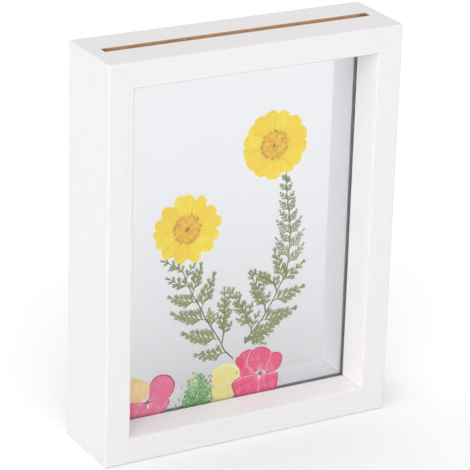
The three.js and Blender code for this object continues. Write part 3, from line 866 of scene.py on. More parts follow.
@dataclass
class Daisy:
    """A yellow daisy: a ring of ray petals under a disc of small florets, with a fringe of bracts.

    A ray is [clock angle in degrees, radius of its tip, width].
    """

    name: str
    centre: Point
    rays: Sequence[tuple[float, float, float]]
    seed: int
    inner: float = 6.4
    foot: float = 0.42
    full_from: float = 0.75
    shoulder: float = 0.34
    round_power: float = 2.4
    notch: float = 0.4
    notch_power: float = 8
    slimness: float = 0.93
    tip_wave: float = 0.12
    side_wave: float = 0.02
    rib_height: float = 0.012
    ray_faces: tuple[int, int] = (24, 20)
    disc_radius: float = 7.55
    disc_wave: float = 0.03
    disc_faces: tuple[int, int] = (48, 6)
    disc_thickness: float = 0.04
    floret_count: int = 590
    floret_margin: float = 0.4
    floret_half_length: Span = (0.42, 0.75)
    floret_half_width: Span = (0.1, 0.17)
    floret_half_depth: float = 0.05
    floret_set_back: Span = (0.06, 0.1)
    floret_turn: Span = (-0.5, 0.5)
    bract_count: int = 150
    bract_half_width: float = 0.17
    bract_length: Span = (0.9, 1.7)
    bract_start: Span = (-0.6, 0.1)
    bract_lean: Span = (-0.6, 0.6)
    bract_rise: Span = (-0.03, -0.005)
    # The lowest tones make pale bracts, partly painted glints on the fringe.
    bract_and_glint_tones: tuple[float, ...] = (0.0, 0.05, 0.72, 0.78, 0.84)
    dash_count: int = 24
    dash_spread: tuple[Span, Span] = ((-0.2, 1.0), (0, 0.9))
    dash_half_length: Span = (0.6, 1.2)
    dash_half_width: float = 0.13
    dash_half_depth: float = 0.03
    dash_turns: tuple[float, ...] = (50, 62, 128)
    dash_tones: tuple[float, ...] = (0.0, 1.0, 1.0, 1.0)

    def build(self) -> None:
        """Makes the rays and the disc."""
        for i, ray in enumerate(self.rays):
            self.build_ray(i, ray)
        self.build_disc()

    def build_ray(self, index: int, ray: tuple[float, float, float]) -> None:
        """Makes one ray petal, ribbed along its length, with a round notched tip.

        Args:
            index: its number in the ring.
            ray: its clock angle in degrees, the radius of its tip and its width.
        """
        clock, tip, width = ray
        node = f"{self.name}_petal_{index + 1:02d}"
        heading = math.radians(90 - clock)
        length = tip - self.inner
        front = LAYERS.front(2 + index % 2)

        def place(across: float, along: float) -> Spot:
            """Places a point of the ray.

            Args:
                across: how far across it is, -1 to 1.
                along: how far along it is, 0 to 1.

            Returns:
                Its x, y and z in millimetres.
            """
            tip_line = length * (1 - self.shoulder * abs(across) ** self.round_power)
            tip_line -= self.notch * (1 - across * across) ** self.notch_power
            wave = self.tip_wave * along * ripple(across * 2.2, along * 2 + index, 1.3, self.seed)
            swell = lerp(self.foot, 1, math.sin(math.pi / 2 * min(1, along / self.full_from)))
            swell *= 1 + self.side_wave * ripple(along * 4, index, 1.0, self.seed)
            half = across * self.slimness * width / 2 * swell
            relief = self.rib_height * math.cos(across * math.pi * 4) * smooth_step(0, 0.3, along)
            relief += self.rib_height * ripple(across * 3, along * 1.2 + 7 * index, 1.0, self.seed)
            return set_out(self.centre, heading, self.inner + along * tip_line + wave, -half, front + relief)

        piece = Piece(f"{node}_tissue", Slot.RAY, [node])
        piece.blade(*self.ray_faces, place, tone=0.5 + 0.5 * math.sin(5 * index + self.seed))
        piece.thicken()
        piece.finish(PALETTE.of(RAY_FINISH))

    def build_disc(self) -> None:
        """Makes the disc: a thin cushion, bracts round it, spirals of florets, dark dashes at its middle."""
        rng = random.Random(self.seed)
        node = f"{self.name}_disc"
        piece = Piece(f"{node}_florets", Slot.DISC, [node])
        back = LAYERS.front(1)

        def cushion(across: float, along: float) -> Spot:
            """Places a point of the cushion that the florets stand on.

            Args:
                across: how far round it is, -1 to 1.
                along: how far out it is, 0 to 1.

            Returns:
                Its x, y and z in millimetres.
            """
            angle = across * math.pi
            wave = self.disc_wave * ripple(math.cos(angle), math.sin(angle), 2.5, self.seed)
            return set_out(self.centre, angle, self.disc_radius * (1 + wave) * along, 0.0, back)

        piece.blade(*self.disc_faces, cushion, tone=0.4)
        for _ in range(self.bract_count):
            self.add_bract(piece, rng, back)
        piece.thicken(self.disc_thickness)
        for index in range(self.floret_count):
            self.add_floret(piece, rng, index)
        for _ in range(self.dash_count):
            self.add_dash(piece, rng)
        piece.finish(PALETTE.of(DISC_FINISH))

    def add_floret(self, piece: Piece, rng: random.Random, index: int) -> None:
        """Adds one floret of the spirals, in clumps of lighter and darker ones.

        Args:
            piece: the disc.
            rng: the disc's own random numbers.
            index: its number from the middle out.
        """
        share = (index + 0.5) / self.floret_count
        angle = index * GOLDEN_ANGLE
        far = (self.disc_radius - self.floret_margin) * math.sqrt(share)
        clump = ripple(far * math.cos(angle), far * math.sin(angle), 0.55, self.seed)
        tone = 0.28 + 0.7 * clump + rng.uniform(-0.12, 0.12) + 0.2 * smooth_step(0.75, 1, share)
        size = (rng.uniform(*self.floret_half_length), self.floret_half_depth,
                rng.uniform(*self.floret_half_width))
        depth = LAYERS.front(0) + rng.uniform(*self.floret_set_back)
        piece.seed(set_out(self.centre, angle, far, 0.0, depth), size,
                   angle + rng.uniform(*self.floret_turn), max(0.0, tone))

    def add_dash(self, piece: Piece, rng: random.Random) -> None:
        """Adds one short dash, mostly dark, near the disc's middle.

        Args:
            piece: the disc.
            rng: the disc's own random numbers.
        """
        x, z = (middle + rng.gauss(*spread) for middle, spread in zip(self.centre, self.dash_spread))
        size = (rng.uniform(*self.dash_half_length), self.dash_half_depth, self.dash_half_width)
        turn = math.radians(rng.choice(self.dash_turns) + rng.uniform(-10, 10))
        piece.seed((x, LAYERS.front(0) + 0.01, z), size, turn, rng.choice(self.dash_tones))

    def add_bract(self, piece: Piece, rng: random.Random, back: float) -> None:
        """Adds one short bract that points out from under the disc's edge, olive, or pale as a partly painted
        glint.

        Args:
            piece: the disc.
            rng: the disc's own random numbers.
            back: how far back the disc's cushion lies.
        """
        angle = rng.uniform(0, 2 * math.pi)
        start = self.disc_radius + rng.uniform(*self.bract_start)
        length = rng.uniform(*self.bract_length)
        lean = angle + rng.uniform(*self.bract_lean)
        foot = (self.centre[0] + start * math.cos(angle), self.centre[1] + start * math.sin(angle))
        rise = rng.uniform(*self.bract_rise)

        def place(across: float, along: float) -> Spot:
            """Places a point of the bract.

            Args:
                across: how far across it is, -1 to 1.
                along: how far along it is, 0 to 1.

            Returns:
                Its x, y and z in millimetres.
            """
            swell = math.sin(math.pi * min(0.97, 0.25 + 0.72 * along))
            return set_out(foot, lean, along * length, across * self.bract_half_width * swell, back + rise)

        piece.blade(2, 5, place, tone=rng.choice(self.bract_and_glint_tones))


# ---- loose petals ----------------------------------------------------------------------------------------


@dataclass
class LoosePetal:
    """A petal whose outline runs from one side of its foot round to the other."""

    name: str
    slot: Slot
    finish: PetalFinish
    layer: int
    outline: Sequence[Point]
    folds: Sequence[Sequence[Point]] = ()
    fold_half_width: float = 0.3
    fold_rise: float = 0.032
    wrinkle_height: float = 0.012
    wrinkles: float = 46
    faces: tuple[int, int] = (96, 26)

    def build(self) -> None:
        """Makes the petal as a fan that opens from its foot, with soft wrinkles along its veins."""
        line = curve_through(self.outline, 8)
        foot = ((line[0][0] + line[-1][0]) / 2, (line[0][1] + line[-1][1]) / 2)
        front = LAYERS.front(self.layer)
        seed = sum(map(ord, self.name)) % 97

        def place(across: float, along: float) -> Spot:
            """Places a point of the petal.

            Args:
                across: how far round its rim it is, -1 to 1.
                along: how far out from its foot it is, 0 to 1.

            Returns:
                Its x, y and z in millimetres.
            """
            around = (across + 1) / 2
            rim = point_along(line, around)
            far = along * (1 + 0.012 * ripple(rim[0], rim[1], 0.9, seed))
            x, z = lerp(foot[0], rim[0], far), lerp(foot[1], rim[1], far)
            wrinkle = math.sin(around * self.wrinkles + 3 * ripple(x, z, 0.2, seed)) * along
            return (x, front + self.wrinkle_height * (wrinkle + ripple(x, z, 0.5, seed)), z)

        piece = Piece(f"{self.name}_tissue", self.slot, [self.name])
        piece.blade(*self.faces, place)
        for points in self.folds:
            self.add_fold(piece, curve_through(points, 6), front)
        piece.thicken()
        piece.finish(PALETTE.of(self.finish))

    def add_fold(self, piece: Piece, line: Sequence[Point], front: float) -> None:
        """Adds a pale fold that stands a little proud of the petal.

        Args:
            piece: the petal.
            line: the points that the fold follows.
            front: how far back the petal lies.
        """

        def place(across: float, along: float) -> Spot:
            """Places a point of the fold, which narrows to both ends.

            Args:
                across: how far across it is, -1 to 1.
                along: how far along it is, 0 to 1.

            Returns:
                Its x, y and z in millimetres.
            """
            half = across * self.fold_half_width * math.sqrt(math.sin(math.pi * lerp(0.06, 0.94, along)))
            x, z = beside(line, along, 0.05, half)
            return (x, front - self.fold_rise + 0.01 * across * across, z)

        piece.blade(2, 12, place, tone=1.0)


@dataclass
class FlowerEye:
    """The small middle of a pink flower: dark lobes with pale drops on them.

    A drop is [x, z, half length, turn in degrees].
    """

    name: str
    centre: Point
    drops: Sequence[tuple[float, float, float, float]]
    radius: float = 2.2
    lobes: int = 8
    lobe_half_width: float = 0.36
    lobe_reach: Span = (0.55, 1.0)
    lobe_step: float = 0.003
    lobe_set_back: float = 0.02
    drop_half_width: float = 0.5
    drop_half_depth: float = 0.02

    def build(self) -> None:
        """Makes the lobes and the drops."""
        rng = random.Random(int(self.radius * 10) + len(self.name))
        piece = Piece(f"{self.name}_tissue", Slot.EYE, [self.name])
        front = LAYERS.front(0)
        for i in range(self.lobes):
            angle = 2 * math.pi * i / self.lobes + rng.uniform(-0.25, 0.25)
            length = self.radius * rng.uniform(*self.lobe_reach)

            def place(across: float, along: float) -> Spot:
                """Places a point of a lobe.

                Args:
                    across: how far across it is, -1 to 1.
                    along: how far along it is, 0 to 1.

                Returns:
                    Its x, y and z in millimetres.
                """
                half = across * self.lobe_half_width * math.sin(math.pi * min(0.96, 0.2 + 0.76 * along))
                depth = front + self.lobe_set_back + self.lobe_step * i
                return set_out(self.centre, angle, along * length, half, depth)

            piece.blade(4, 7, place, tone=rng.uniform(0, 0.3))
        piece.thicken(0.02)
        for x, z, length, turn in self.drops:
            size = (length, self.drop_half_depth, self.drop_half_width)
            piece.seed((x, front - self.drop_half_depth, z), size, math.radians(turn), 1.0)
        piece.finish(PALETTE.of(EYE_FINISH))


# ---- ferns -----------------------------------------------------------------------------------------------


@dataclass(frozen=True)
class LobeShape:
    """A fern lobe's form: sizes in millimetres, and shares of the lobe's own length."""

    foot_half_width: float = 0.31
    half_width_share: float = 0.13
    tooth_half_width: float = 0.18
    slender_foot: float = 0.7
    slender_half_width: float = 0.37
    slender_tooth_half_width: float = 0.13
    teeth_from: Span = (2.4, 4.2)
    notch: float = 0.52
    tip_round: float = 0.14
    side_tooth_from: float = 4.6
    side_tooth_at: float = 0.4
    side_tooth_lean: float = 0.66
    side_tooth_share: float = 0.42
    bend: Span = (-0.12, 0.12)
    set_back: Span = (0.0, 0.02)
    tones: Span = (0.0, 0.35)


@dataclass
class FernBranch:
    """A fern's stem and its pinnae, each a rib with toothed lobes on both sides.

    A pinna is [foot x, foot z, tip x, tip z, sag of its rib].
    """

    name: str
    layer: int
    stem: Sequence[Point]
    pinnae: Sequence[tuple[float, float, float, float, float]]
    seed: int
    cut_base: bool = False
    leafy_from: float = 1.0
    slender_above: float = math.inf
    stem_width: Span = (0.9, 0.55)
    rib_width: Span = (0.6, 0.42)
    rib_steps: int = 8
    upper_lean: Span = (0.82, 0.64)
    lower_lean: Span = (0.62, 0.48)
    slender_lean: Span = (0.72, 0.56)
    first_lobe: float = 0.1
    last_lobe: float = 0.84
    taper: Span = (1.1, 0.56)
    length_spread: Span = (0.9, 1.08)
    lower_shift: float = 0.06
    lobe_pitch: float = 5.3
    slender_pitch: float = 3.4
    spare_pitch: float = 0.2
    lobe_least: float = 1.7
    lobe_share: float = 0.25
    slender_share: float = 0.24
    end_share: float = 0.72
    end_reach: float = 0.85
    stem_pitch: float = 3.2
    stem_lobe: Span = (5.6, 3.6)
    stem_lobe_spread: Span = (0.85, 1.1)
    stem_lean: float = 0.72
    cut_heading: float = math.radians(4)
    shape: LobeShape = LobeShape()
    rng: random.Random = field(init=False, repr=False)
    front: float = field(init=False, repr=False)
    piece: Piece = field(init=False, repr=False)

    def build(self) -> None:
        """Makes the branch as one piece."""
        self.rng = random.Random(self.seed)
        self.front = LAYERS.front(self.layer)
        self.piece = Piece(f"{self.name}_tissue", Slot.FERN, [self.name])
        line = curve_through(self.stem, 4)
        self.ribbon(line, self.stem_width, tone=0.82, shift=-0.012)
        for x, z, *rest in self.pinnae:
            self.pinna(nearest_on(line, (x, z)), *rest)
        self.dress_stem(line)
        if self.cut_base:
            self.base_block(line[0])
        self.piece.thicken()
        self.piece.finish(PALETTE.of(FERN_FINISH))

    def dress_stem(self, line: Sequence[Point]) -> None:
        """Adds pairs of lobes to the stem's leafy end, and one at its tip.

        Args:
            line: the stem's points.
        """
        length = sum(math.dist(a, b) for a, b in zip(line, line[1:]))
        count = round((1 - self.leafy_from) * length / self.stem_pitch)
        for i in range(count):
            t = lerp(self.leafy_from, 1.0, (i + 0.4) / count)
            here, before = point_along(line, t), point_along(line, t - 0.03)
            heading = math.atan2(here[1] - before[1], here[0] - before[0])
            for side in (1, -1):
                size = lerp(*self.stem_lobe, t) * self.rng.uniform(*self.stem_lobe_spread)
                self.lobe(here, heading + side * self.stem_lean, size)
        heading = math.atan2(line[-1][1] - line[-3][1], line[-1][0] - line[-3][0])
        self.lobe(line[-1], heading, self.stem_lobe[1])

    def ribbon(self, line: Sequence[Point], widths: Span, tone: float, shift: float) -> None:
        """Adds a stem or rib that follows a line and narrows to its end.

        Args:
            line: the points that it follows.
            widths: its width at its foot and at its end.
            tone: the value that its finish varies with.
            shift: how far it stands back from the branch's own depth.
        """

        def place(across: float, along: float) -> Spot:
            """Places a point of the ribbon, which is round across its width.

            Args:
                across: how far across it is, -1 to 1.
                along: how far along it is, 0 to 1.

            Returns:
                Its x, y and z in millimetres.
            """
            x, z = beside(line, along, 0.02, across * lerp(*widths, along) / 2)
            return (x, self.front + shift + 0.014 * across * across, z)

        self.piece.blade(4, max(6, 2 * len(line)), place, tone)

    def pinna(self, foot: Point, tip_x: float, tip_z: float, sag: float) -> None:
        """Adds one pinna.

        Args:
            foot: where its rib leaves the stem.
            tip_x: its tip's x.
            tip_z: its tip's z.
            sag: how far its rib bends.
        """
        slender = foot[1] > self.slender_above
        span = math.dist(foot, (tip_x, tip_z))
        heading = math.atan2(tip_z - foot[1], tip_x - foot[0])
        longest = self.lobe_least + (self.slender_share if slender else self.lobe_share) * span
        end = longest * self.end_share
        reach = (span - self.end_reach * end) / span

        def on_rib(t: float) -> Point:
            """The point of the rib that lies a fraction of the way along it."""
            return (lerp(foot[0], tip_x, t * reach), lerp(foot[1], tip_z, t * reach) + 4 * sag * t * (1 - t))

        rib = [on_rib(i / self.rib_steps) for i in range(self.rib_steps + 1)]
        self.ribbon(rib, self.rib_width, tone=0.5, shift=-0.008)
        pitch = self.slender_pitch if slender else self.lobe_pitch
        lobes = math.ceil(span / pitch - self.spare_pitch)
        for side in (1, -1):
            upper = side * (tip_x - foot[0]) > 0
            lean = self.slender_lean if slender else self.upper_lean if upper else self.lower_lean
            for i in range(lobes):
                # The outermost lobes lie a quarter of a pitch in from the leafy stretch's ends.
                share = (i + 0.25) / (lobes - 0.5)
                t = lerp(self.first_lobe, self.last_lobe, share) + (0 if upper else self.lower_shift)
                length = longest * lerp(*self.taper, t) * self.rng.uniform(*self.length_spread)
                self.lobe(on_rib(t), heading + side * lerp(*lean, t), length, slender)
        self.lobe(on_rib(1), heading, end, slender)

    def lobe(self, foot: Point, heading: float, length: float, slender: bool = False) -> None:
        """Adds one lobe: a wedge that widens from a narrow foot to one, two or three blunt teeth.

        Args:
            foot: where it starts.
            heading: the way it points, in radians.
            length: its length.
            slender: whether it stays narrow, as on the thin upper pinnae.
        """
        shape = self.shape
        teeth = 1 + sum(length > least for least in shape.teeth_from[:1 if slender else 2])
        if slender:
            foot_half = shape.foot_half_width * shape.slender_foot
            end_half = shape.slender_half_width + shape.slender_tooth_half_width * teeth
        else:
            foot_half = shape.foot_half_width
            end_half = shape.half_width_share * length + shape.tooth_half_width * teeth
        depth = self.front + self.rng.uniform(*shape.set_back)
        tone = self.rng.uniform(*shape.tones)
        bend = self.rng.uniform(*shape.bend)

        def place(across: float, along: float) -> Spot:
            """Places a point of the lobe.

            Args:
                across: how far across it is, -1 to 1.
                along: how far along it is, 0 to 1.

            Returns:
                Its x, y and z in millimetres.
            """
            phase = math.pi / 2 * across * (teeth - 0.5)
            tooth = abs(math.cos(phase) if teeth % 2 else math.sin(phase)) ** 0.5
            tip = length * (1 - shape.tip_round * across * across) * (1 - shape.notch * (1 - tooth))
            half = across * lerp(foot_half, end_half, along)
            return set_out(foot, heading + bend * along, along * tip, half, depth + 0.008 * across * across)

        self.piece.blade(5 * teeth, 4, place, tone)
        if length > shape.side_tooth_from and not slender:
            side = self.rng.choice((1, -1))
            out = shape.side_tooth_at * length
            at = (foot[0] + out * math.cos(heading), foot[1] + out * math.sin(heading))
            self.lobe(at, heading + side * shape.side_tooth_lean, shape.side_tooth_share * length,
                      slender=True)

    def base_block(self, foot: Point) -> None:
        """Adds the short thick end where the frond was cut off, dark at the cut.

        Args:
            foot: where the stem starts.
        """
        block = {"start": -0.6, "end": 4.6, "half_width": 1.7, "narrowing": 0.35, "shift": 0.004}
        cut = {"start": -0.9, "end": -0.1, "half_width": 2.2, "narrowing": 1.0, "shift": -0.018}
        for part, tone in ((block, 0.55), (cut, 1.0)):
            def place(across: float, along: float) -> Spot:
                """Places a point of the block or of its cut end.

                Args:
                    across: how far across it is, -1 to 1.
                    along: how far along it is, 0 to 1.

                Returns:
                    Its x, y and z in millimetres.
                """
                half = across * part["half_width"] * lerp(1.0, part["narrowing"], along)
                far = lerp(part["start"], part["end"], along)
                return set_out(foot, self.cut_heading, far, half, self.front + part["shift"])

            self.piece.blade(6, 6, place, tone)


# ---- the lace flower and the yellow flower's stamens -----------------------------------------------------


@dataclass
class LaceFlower:
    """A dense head of tiny green florets on hair-thin stalks, with a few that have strayed from it."""

    outline: Sequence[Point]
    strays: Sequence[Point]
    lemon: Point
    name: str = "green_lace_flower"
    root: Point = (-20.0, 11.0)
    lowest: float = 10.0
    florets: int = 980
    floret_radius: Span = (0.24, 0.5)
    floret_set_back: Span = (-0.012, 0.022)
    stray_florets: int = 5
    stray_spread: float = 0.35
    seeds: int = 520
    seed_half_length: Span = (0.15, 0.3)
    stalks: int = 90
    stalk_half_width: float = 0.09
    stalk_bow: float = 0.6
    lemon_radius: float = 2.4
    seed: int = 41

    def build(self) -> None:
        """Makes the stalks, the florets and the small dark seeds as one piece."""
        rng = random.Random(self.seed)
        rim = curve_through([*self.outline, self.outline[0]], 6)
        piece = Piece(f"{self.name}_florets", Slot.LACE, [self.name])
        front = LAYERS.front(2)
        for _ in range(self.stalks):
            self.stalk(piece, self.inside(rim, rng), front)
        for _ in range(self.florets):
            self.floret(piece, self.inside(rim, rng), front, rng)
        for x, z in self.strays:
            for _ in range(self.stray_florets):
                near = (x + rng.gauss(0, self.stray_spread), z + rng.gauss(0, self.stray_spread))
                self.floret(piece, near, front, rng)
        piece.thicken(0.018)
        for _ in range(self.seeds):
            x, z = self.inside(rim, rng)
            piece.seed((x, front, z), (rng.uniform(*self.seed_half_length), 0.02, 0.12),
                       rng.uniform(0, math.pi), self.tone_at(x, z) * 0.5)
        piece.finish(PALETTE.of(LACE_FINISH))

    def inside(self, rim: Sequence[Point], rng: random.Random) -> Point:
        """Picks a point between the root and the rim, most often far from the root.

        Args:
            rim: the head's outline.
            rng: the flower's own random numbers.

        Returns:
            The point.
        """
        x, z = point_along(rim, rng.random())
        far = math.sqrt(rng.uniform(0.0, 1.05))
        return (lerp(self.root[0], x, far), max(self.lowest, lerp(self.root[1] + 7, z, far)))

    def tone_at(self, x: float, z: float) -> float:
        """How light the head is at a place, and over 0.5 how yellow."""
        lemon = 0.7 * math.exp(-((math.dist((x, z), self.lemon) / self.lemon_radius) ** 2))
        return lemon + 0.22 * (ripple(x, z, 0.6) + 0.9)

    def stalk(self, piece: Piece, tip: Point, front: float) -> None:
        """Adds a hair-thin stalk from the root to a tip.

        Args:
            piece: the flower.
            tip: where it ends.
            front: how far back the flower lies.
        """

        def place(across: float, along: float) -> Spot:
            """Places a point of the stalk.

            Args:
                across: how far across it is, -1 to 1.
                along: how far along it is, 0 to 1.

            Returns:
                Its x, y and z in millimetres.
            """
            aside = self.stalk_half_width * across + self.stalk_bow * math.sin(math.pi * along)
            return (lerp(self.root[0], tip[0], along) + aside, front + 0.03,
                    lerp(self.root[1], tip[1], along))

        piece.blade(1, 8, place, tone=0.1)

    def floret(self, piece: Piece, centre: Point, front: float, rng: random.Random) -> None:
        """Adds one floret: a tiny scalloped disc.

        Args:
            piece: the flower.
            centre: its middle.
            front: how far back the flower lies.
            rng: the flower's own random numbers.
        """
        size, turn = rng.uniform(*self.floret_radius), rng.uniform(0, 1.3)
        depth = front + rng.uniform(*self.floret_set_back)
        tone = max(0.0, min(1.0, self.tone_at(*centre) + rng.uniform(-0.2, 0.3)))

        def place(across: float, along: float) -> Spot:
            """Places a point of the floret.

            Args:
                across: how far round it is, -1 to 1.
                along: how far out it is, 0 to 1.

            Returns:
                Its x, y and z in millimetres.
            """
            angle = across * math.pi
            return set_out(centre, angle + turn, size * along * (1 + 0.28 * math.cos(5 * angle)), 0.0, depth)

        piece.blade(10, 1, place, tone)


@dataclass
class Stamens:
    """Dry brown filaments by the yellow flower, with crumbs of them at its rim."""

    centre: Point
    crumbs: Sequence[Point]
    name: str = "yellow_flower_stamens"
    length: float = 4.6
    count: int = 11
    half_width: float = 0.14
    tip_size: Spot = (0.42, 0.02, 0.24)
    grains: int = 6
    grain_half_length: Span = (0.25, 0.6)
    seed: int = 23

    def build(self) -> None:
        """Makes the filaments and the crumbs as one piece."""
        rng = random.Random(self.seed)
        piece = Piece(f"{self.name}_tissue", Slot.STAMEN, [self.name])
        front = LAYERS.front(3) - 0.04
        tips: list[Point] = []
        for i in range(self.count):
            z = self.centre[1] + self.length * (i / (self.count - 1) - 0.5)
            tip = (self.centre[0] + rng.uniform(-0.7, 1.0), z + rng.uniform(-0.6, 0.6))

            def place(across: float, along: float) -> Spot:
                """Places a point of the filament.

                Args:
                    across: how far across it is, -1 to 1.
                    along: how far along it is, 0 to 1.

                Returns:
                    Its x, y and z in millimetres.
                """
                return (lerp(self.centre[0] + 0.5, tip[0], along), front,
                        lerp(z, tip[1], along) + self.half_width * across)

            piece.blade(2, 4, place, tone=rng.uniform(0.2, 0.9))
            tips.append(tip)
        piece.thicken(0.02)
        for x, z in tips:
            piece.seed((x, front, z), self.tip_size, rng.uniform(0, math.pi), rng.uniform(0.3, 1.0))
        for x, z in self.crumbs:
            for _ in range(self.grains):
                near = (x + rng.gauss(0, 0.5), front, z + rng.gauss(0, 0.6))
                size = (rng.uniform(*self.grain_half_length), 0.02, 0.2)
                piece.seed(near, size, rng.uniform(0, math.pi), rng.uniform(0.0, 0.8))
        piece.finish(PALETTE.of(STAMEN_FINISH))


# ---- what grows where ------------------------------------------------------------------------------------

DAISIES = [
    Daisy("upper_daisy", (23.3, 156.6), [
        (18, 19.9, 9.2), (48, 20.4, 10.4), (75, 20.4, 10.4), (100, 20.4, 9.6), (125, 20, 9.6),
        (147, 19.9, 9), (181, 19.8, 10.6), (211, 19.2, 9.8), (238, 19.4, 10.2), (262, 19.4, 10),
        (284, 19.6, 9), (305, 19.4, 8.6), (326, 20.1, 9), (351, 19.9, 9.6),
    ], seed=11, slimness=1.0, shoulder=0.29),
    Daisy("lower_daisy", (-27.8, 117.3), [
        (-17, 20.4, 7.8), (1, 19.8, 8), (29, 19.9, 7.6), (61, 19.4, 9), (84, 21, 8.2),
        (109, 20.5, 8), (132, 20.5, 9.4), (163, 20.9, 8), (193, 19.5, 9.4), (225, 20.2, 9.2),
        (249, 19.9, 8.4), (268, 20.4, 8), (286, 20.4, 8), (312, 20, 8.6),
    ], seed=12, slimness=0.97, shoulder=0.31),
]

LOOSE_PETALS = [
    LoosePetal("right_pink_top_petal", Slot.PINK, PINK_FINISH, 1, [
        (17.6, 27.4), (14, 29.6), (11.8, 33.2), (12.3, 37.4), (15, 40.5), (18.6, 41.2), (22.6, 39.8),
        (25.4, 36.9), (25.1, 32.2), (22.4, 28.5), (20.2, 27.1),
    ], folds=[[(25.2, 36.2), (24.8, 32.2), (22, 28.6)]]),
    LoosePetal("right_pink_right_petal", Slot.PINK, PINK_FINISH, 2, [
        (20.6, 27.2), (22.6, 31), (24.2, 34.6), (26.8, 36.1), (30.6, 35.5), (32.7, 32.8), (32.4, 29),
        (30.6, 26), (27, 24.4), (22.8, 24.6),
    ]),
    LoosePetal("right_pink_back_petal", Slot.PINK, PINK_FINISH, 2, [
        (17.4, 27), (14.6, 31), (14, 36), (13.4, 40.3), (9.6, 40.5), (6.4, 38.8), (5.2, 35.6),
        (6.2, 31), (6.6, 27.2), (8, 24.6), (12.4, 24.2),
    ], folds=[[(12.8, 39.8), (11.2, 36), (10.8, 31), (14.6, 28)]]),
    LoosePetal("right_pink_folded_petal", Slot.PINK, RED_FINISH, 1, [
        (8.8, 29.4), (6, 30.6), (3.9, 33.4), (3.4, 36.2), (4.8, 37.6), (7.2, 36.4), (8.8, 33.6),
    ]),
    LoosePetal("right_pink_lower_petal", Slot.PINK, PINK_FINISH, 1, [
        (18.6, 25.4), (13, 25.9), (6.4, 25.3), (1.7, 22.8), (2.2, 18.6), (4.2, 14), (6.4, 10.8),
        (12, 9.9), (18.5, 10.5), (25, 9.9), (28.4, 11.2), (29.9, 15), (30.4, 20), (29.6, 23.8),
        (26, 24.2), (20.6, 24),
    ], folds=[[(18.6, 23), (18.2, 17), (18.7, 10.8)], [(2.4, 22.6), (8, 24.6), (16, 24.8)],
              [(21.6, 24), (26, 24), (29.4, 23.4)]]),
    LoosePetal("left_pink_upper_petal", Slot.PINK, MAGENTA_FINISH, 2, [
        (-49, 23.2), (-48.6, 27), (-48.4, 31.6), (-46.4, 34.8), (-42.2, 36.3), (-37.2, 35.2),
        (-34, 31.6), (-33.4, 27.6), (-35.6, 23), (-39.4, 20.6), (-44.4, 20.6),
    ]),
    LoosePetal("left_pink_right_petal", Slot.PINK, ROSE_FINISH, 3, [
        (-48.6, 22), (-44.6, 22.7), (-38.6, 21.6), (-36.3, 20.2), (-37.4, 17), (-40.6, 13.4),
        (-44.6, 10.8), (-48.4, 10.3), (-49.9, 14), (-49.6, 19),
    ]),
    LoosePetal("left_pink_left_petal", Slot.PINK, ROSE_FINISH, 3, [
        (-49.8, 21.6), (-49.7, 15), (-51, 10.2), (-57, 9.9), (-63, 11.4), (-66.4, 15.4),
        (-66, 20.4), (-62.4, 23.8), (-56.6, 23.4),
    ]),
    LoosePetal("cream_petal", Slot.CREAM, CREAM_FINISH, 1, [
        (-52.2, 23.4), (-49.8, 26.2), (-48.9, 30), (-49.8, 33.2), (-54, 34.9), (-59.6, 34.6),
        (-63.4, 32), (-64.4, 28.2), (-62.2, 24.6), (-57.2, 22.7),
    ]),
    LoosePetal("pale_yellow_petal", Slot.PALE_YELLOW, PALE_YELLOW_FINISH, 2, [
        (-53, 30), (-50.2, 33.6), (-53.4, 36.6), (-58.4, 37.9), (-63.6, 37), (-66.6, 33.4),
        (-66.4, 29.6), (-60, 27.5),
    ]),
    LoosePetal("yellow_upper_petal", Slot.PALE_YELLOW, PALE_YELLOW_FINISH, 3, [
        (-9.6, 22.9), (-10.8, 28.4), (-9.8, 32), (-6.2, 34.4), (-1.6, 34.9), (3.2, 33.4),
        (6, 30.2), (5.8, 26.2), (2.6, 23), (-3, 22.6),
    ], folds=[[(-10.4, 23.2), (-7, 22.6), (-3, 22.9), (1.8, 23)]], fold_half_width=0.5),
    LoosePetal("yellow_lower_petal", Slot.PALE_YELLOW, PALE_YELLOW_FINISH, 3, [
        (-10, 22.9), (-11.1, 18), (-10.6, 13.4), (-8, 10.4), (-3, 9.8), (1, 10.6), (2.6, 14),
        (2.8, 19), (1, 22.7), (-4, 23.1),
    ]),
]

EYES = [
    FlowerEye("right_pink_eye", (19, 25.4), [
        (18.4, 23.2, 1.4, 100), (21.6, 25.2, 0.9, 20), (16.8, 25.8, 0.8, 160),
    ]),
    FlowerEye("left_pink_eye", (-49.8, 21.9), [
        (-52, 22.8, 1.3, -15), (-49.6, 19.3, 1.9, 100), (-50.4, 23.6, 0.9, 60),
    ]),
]

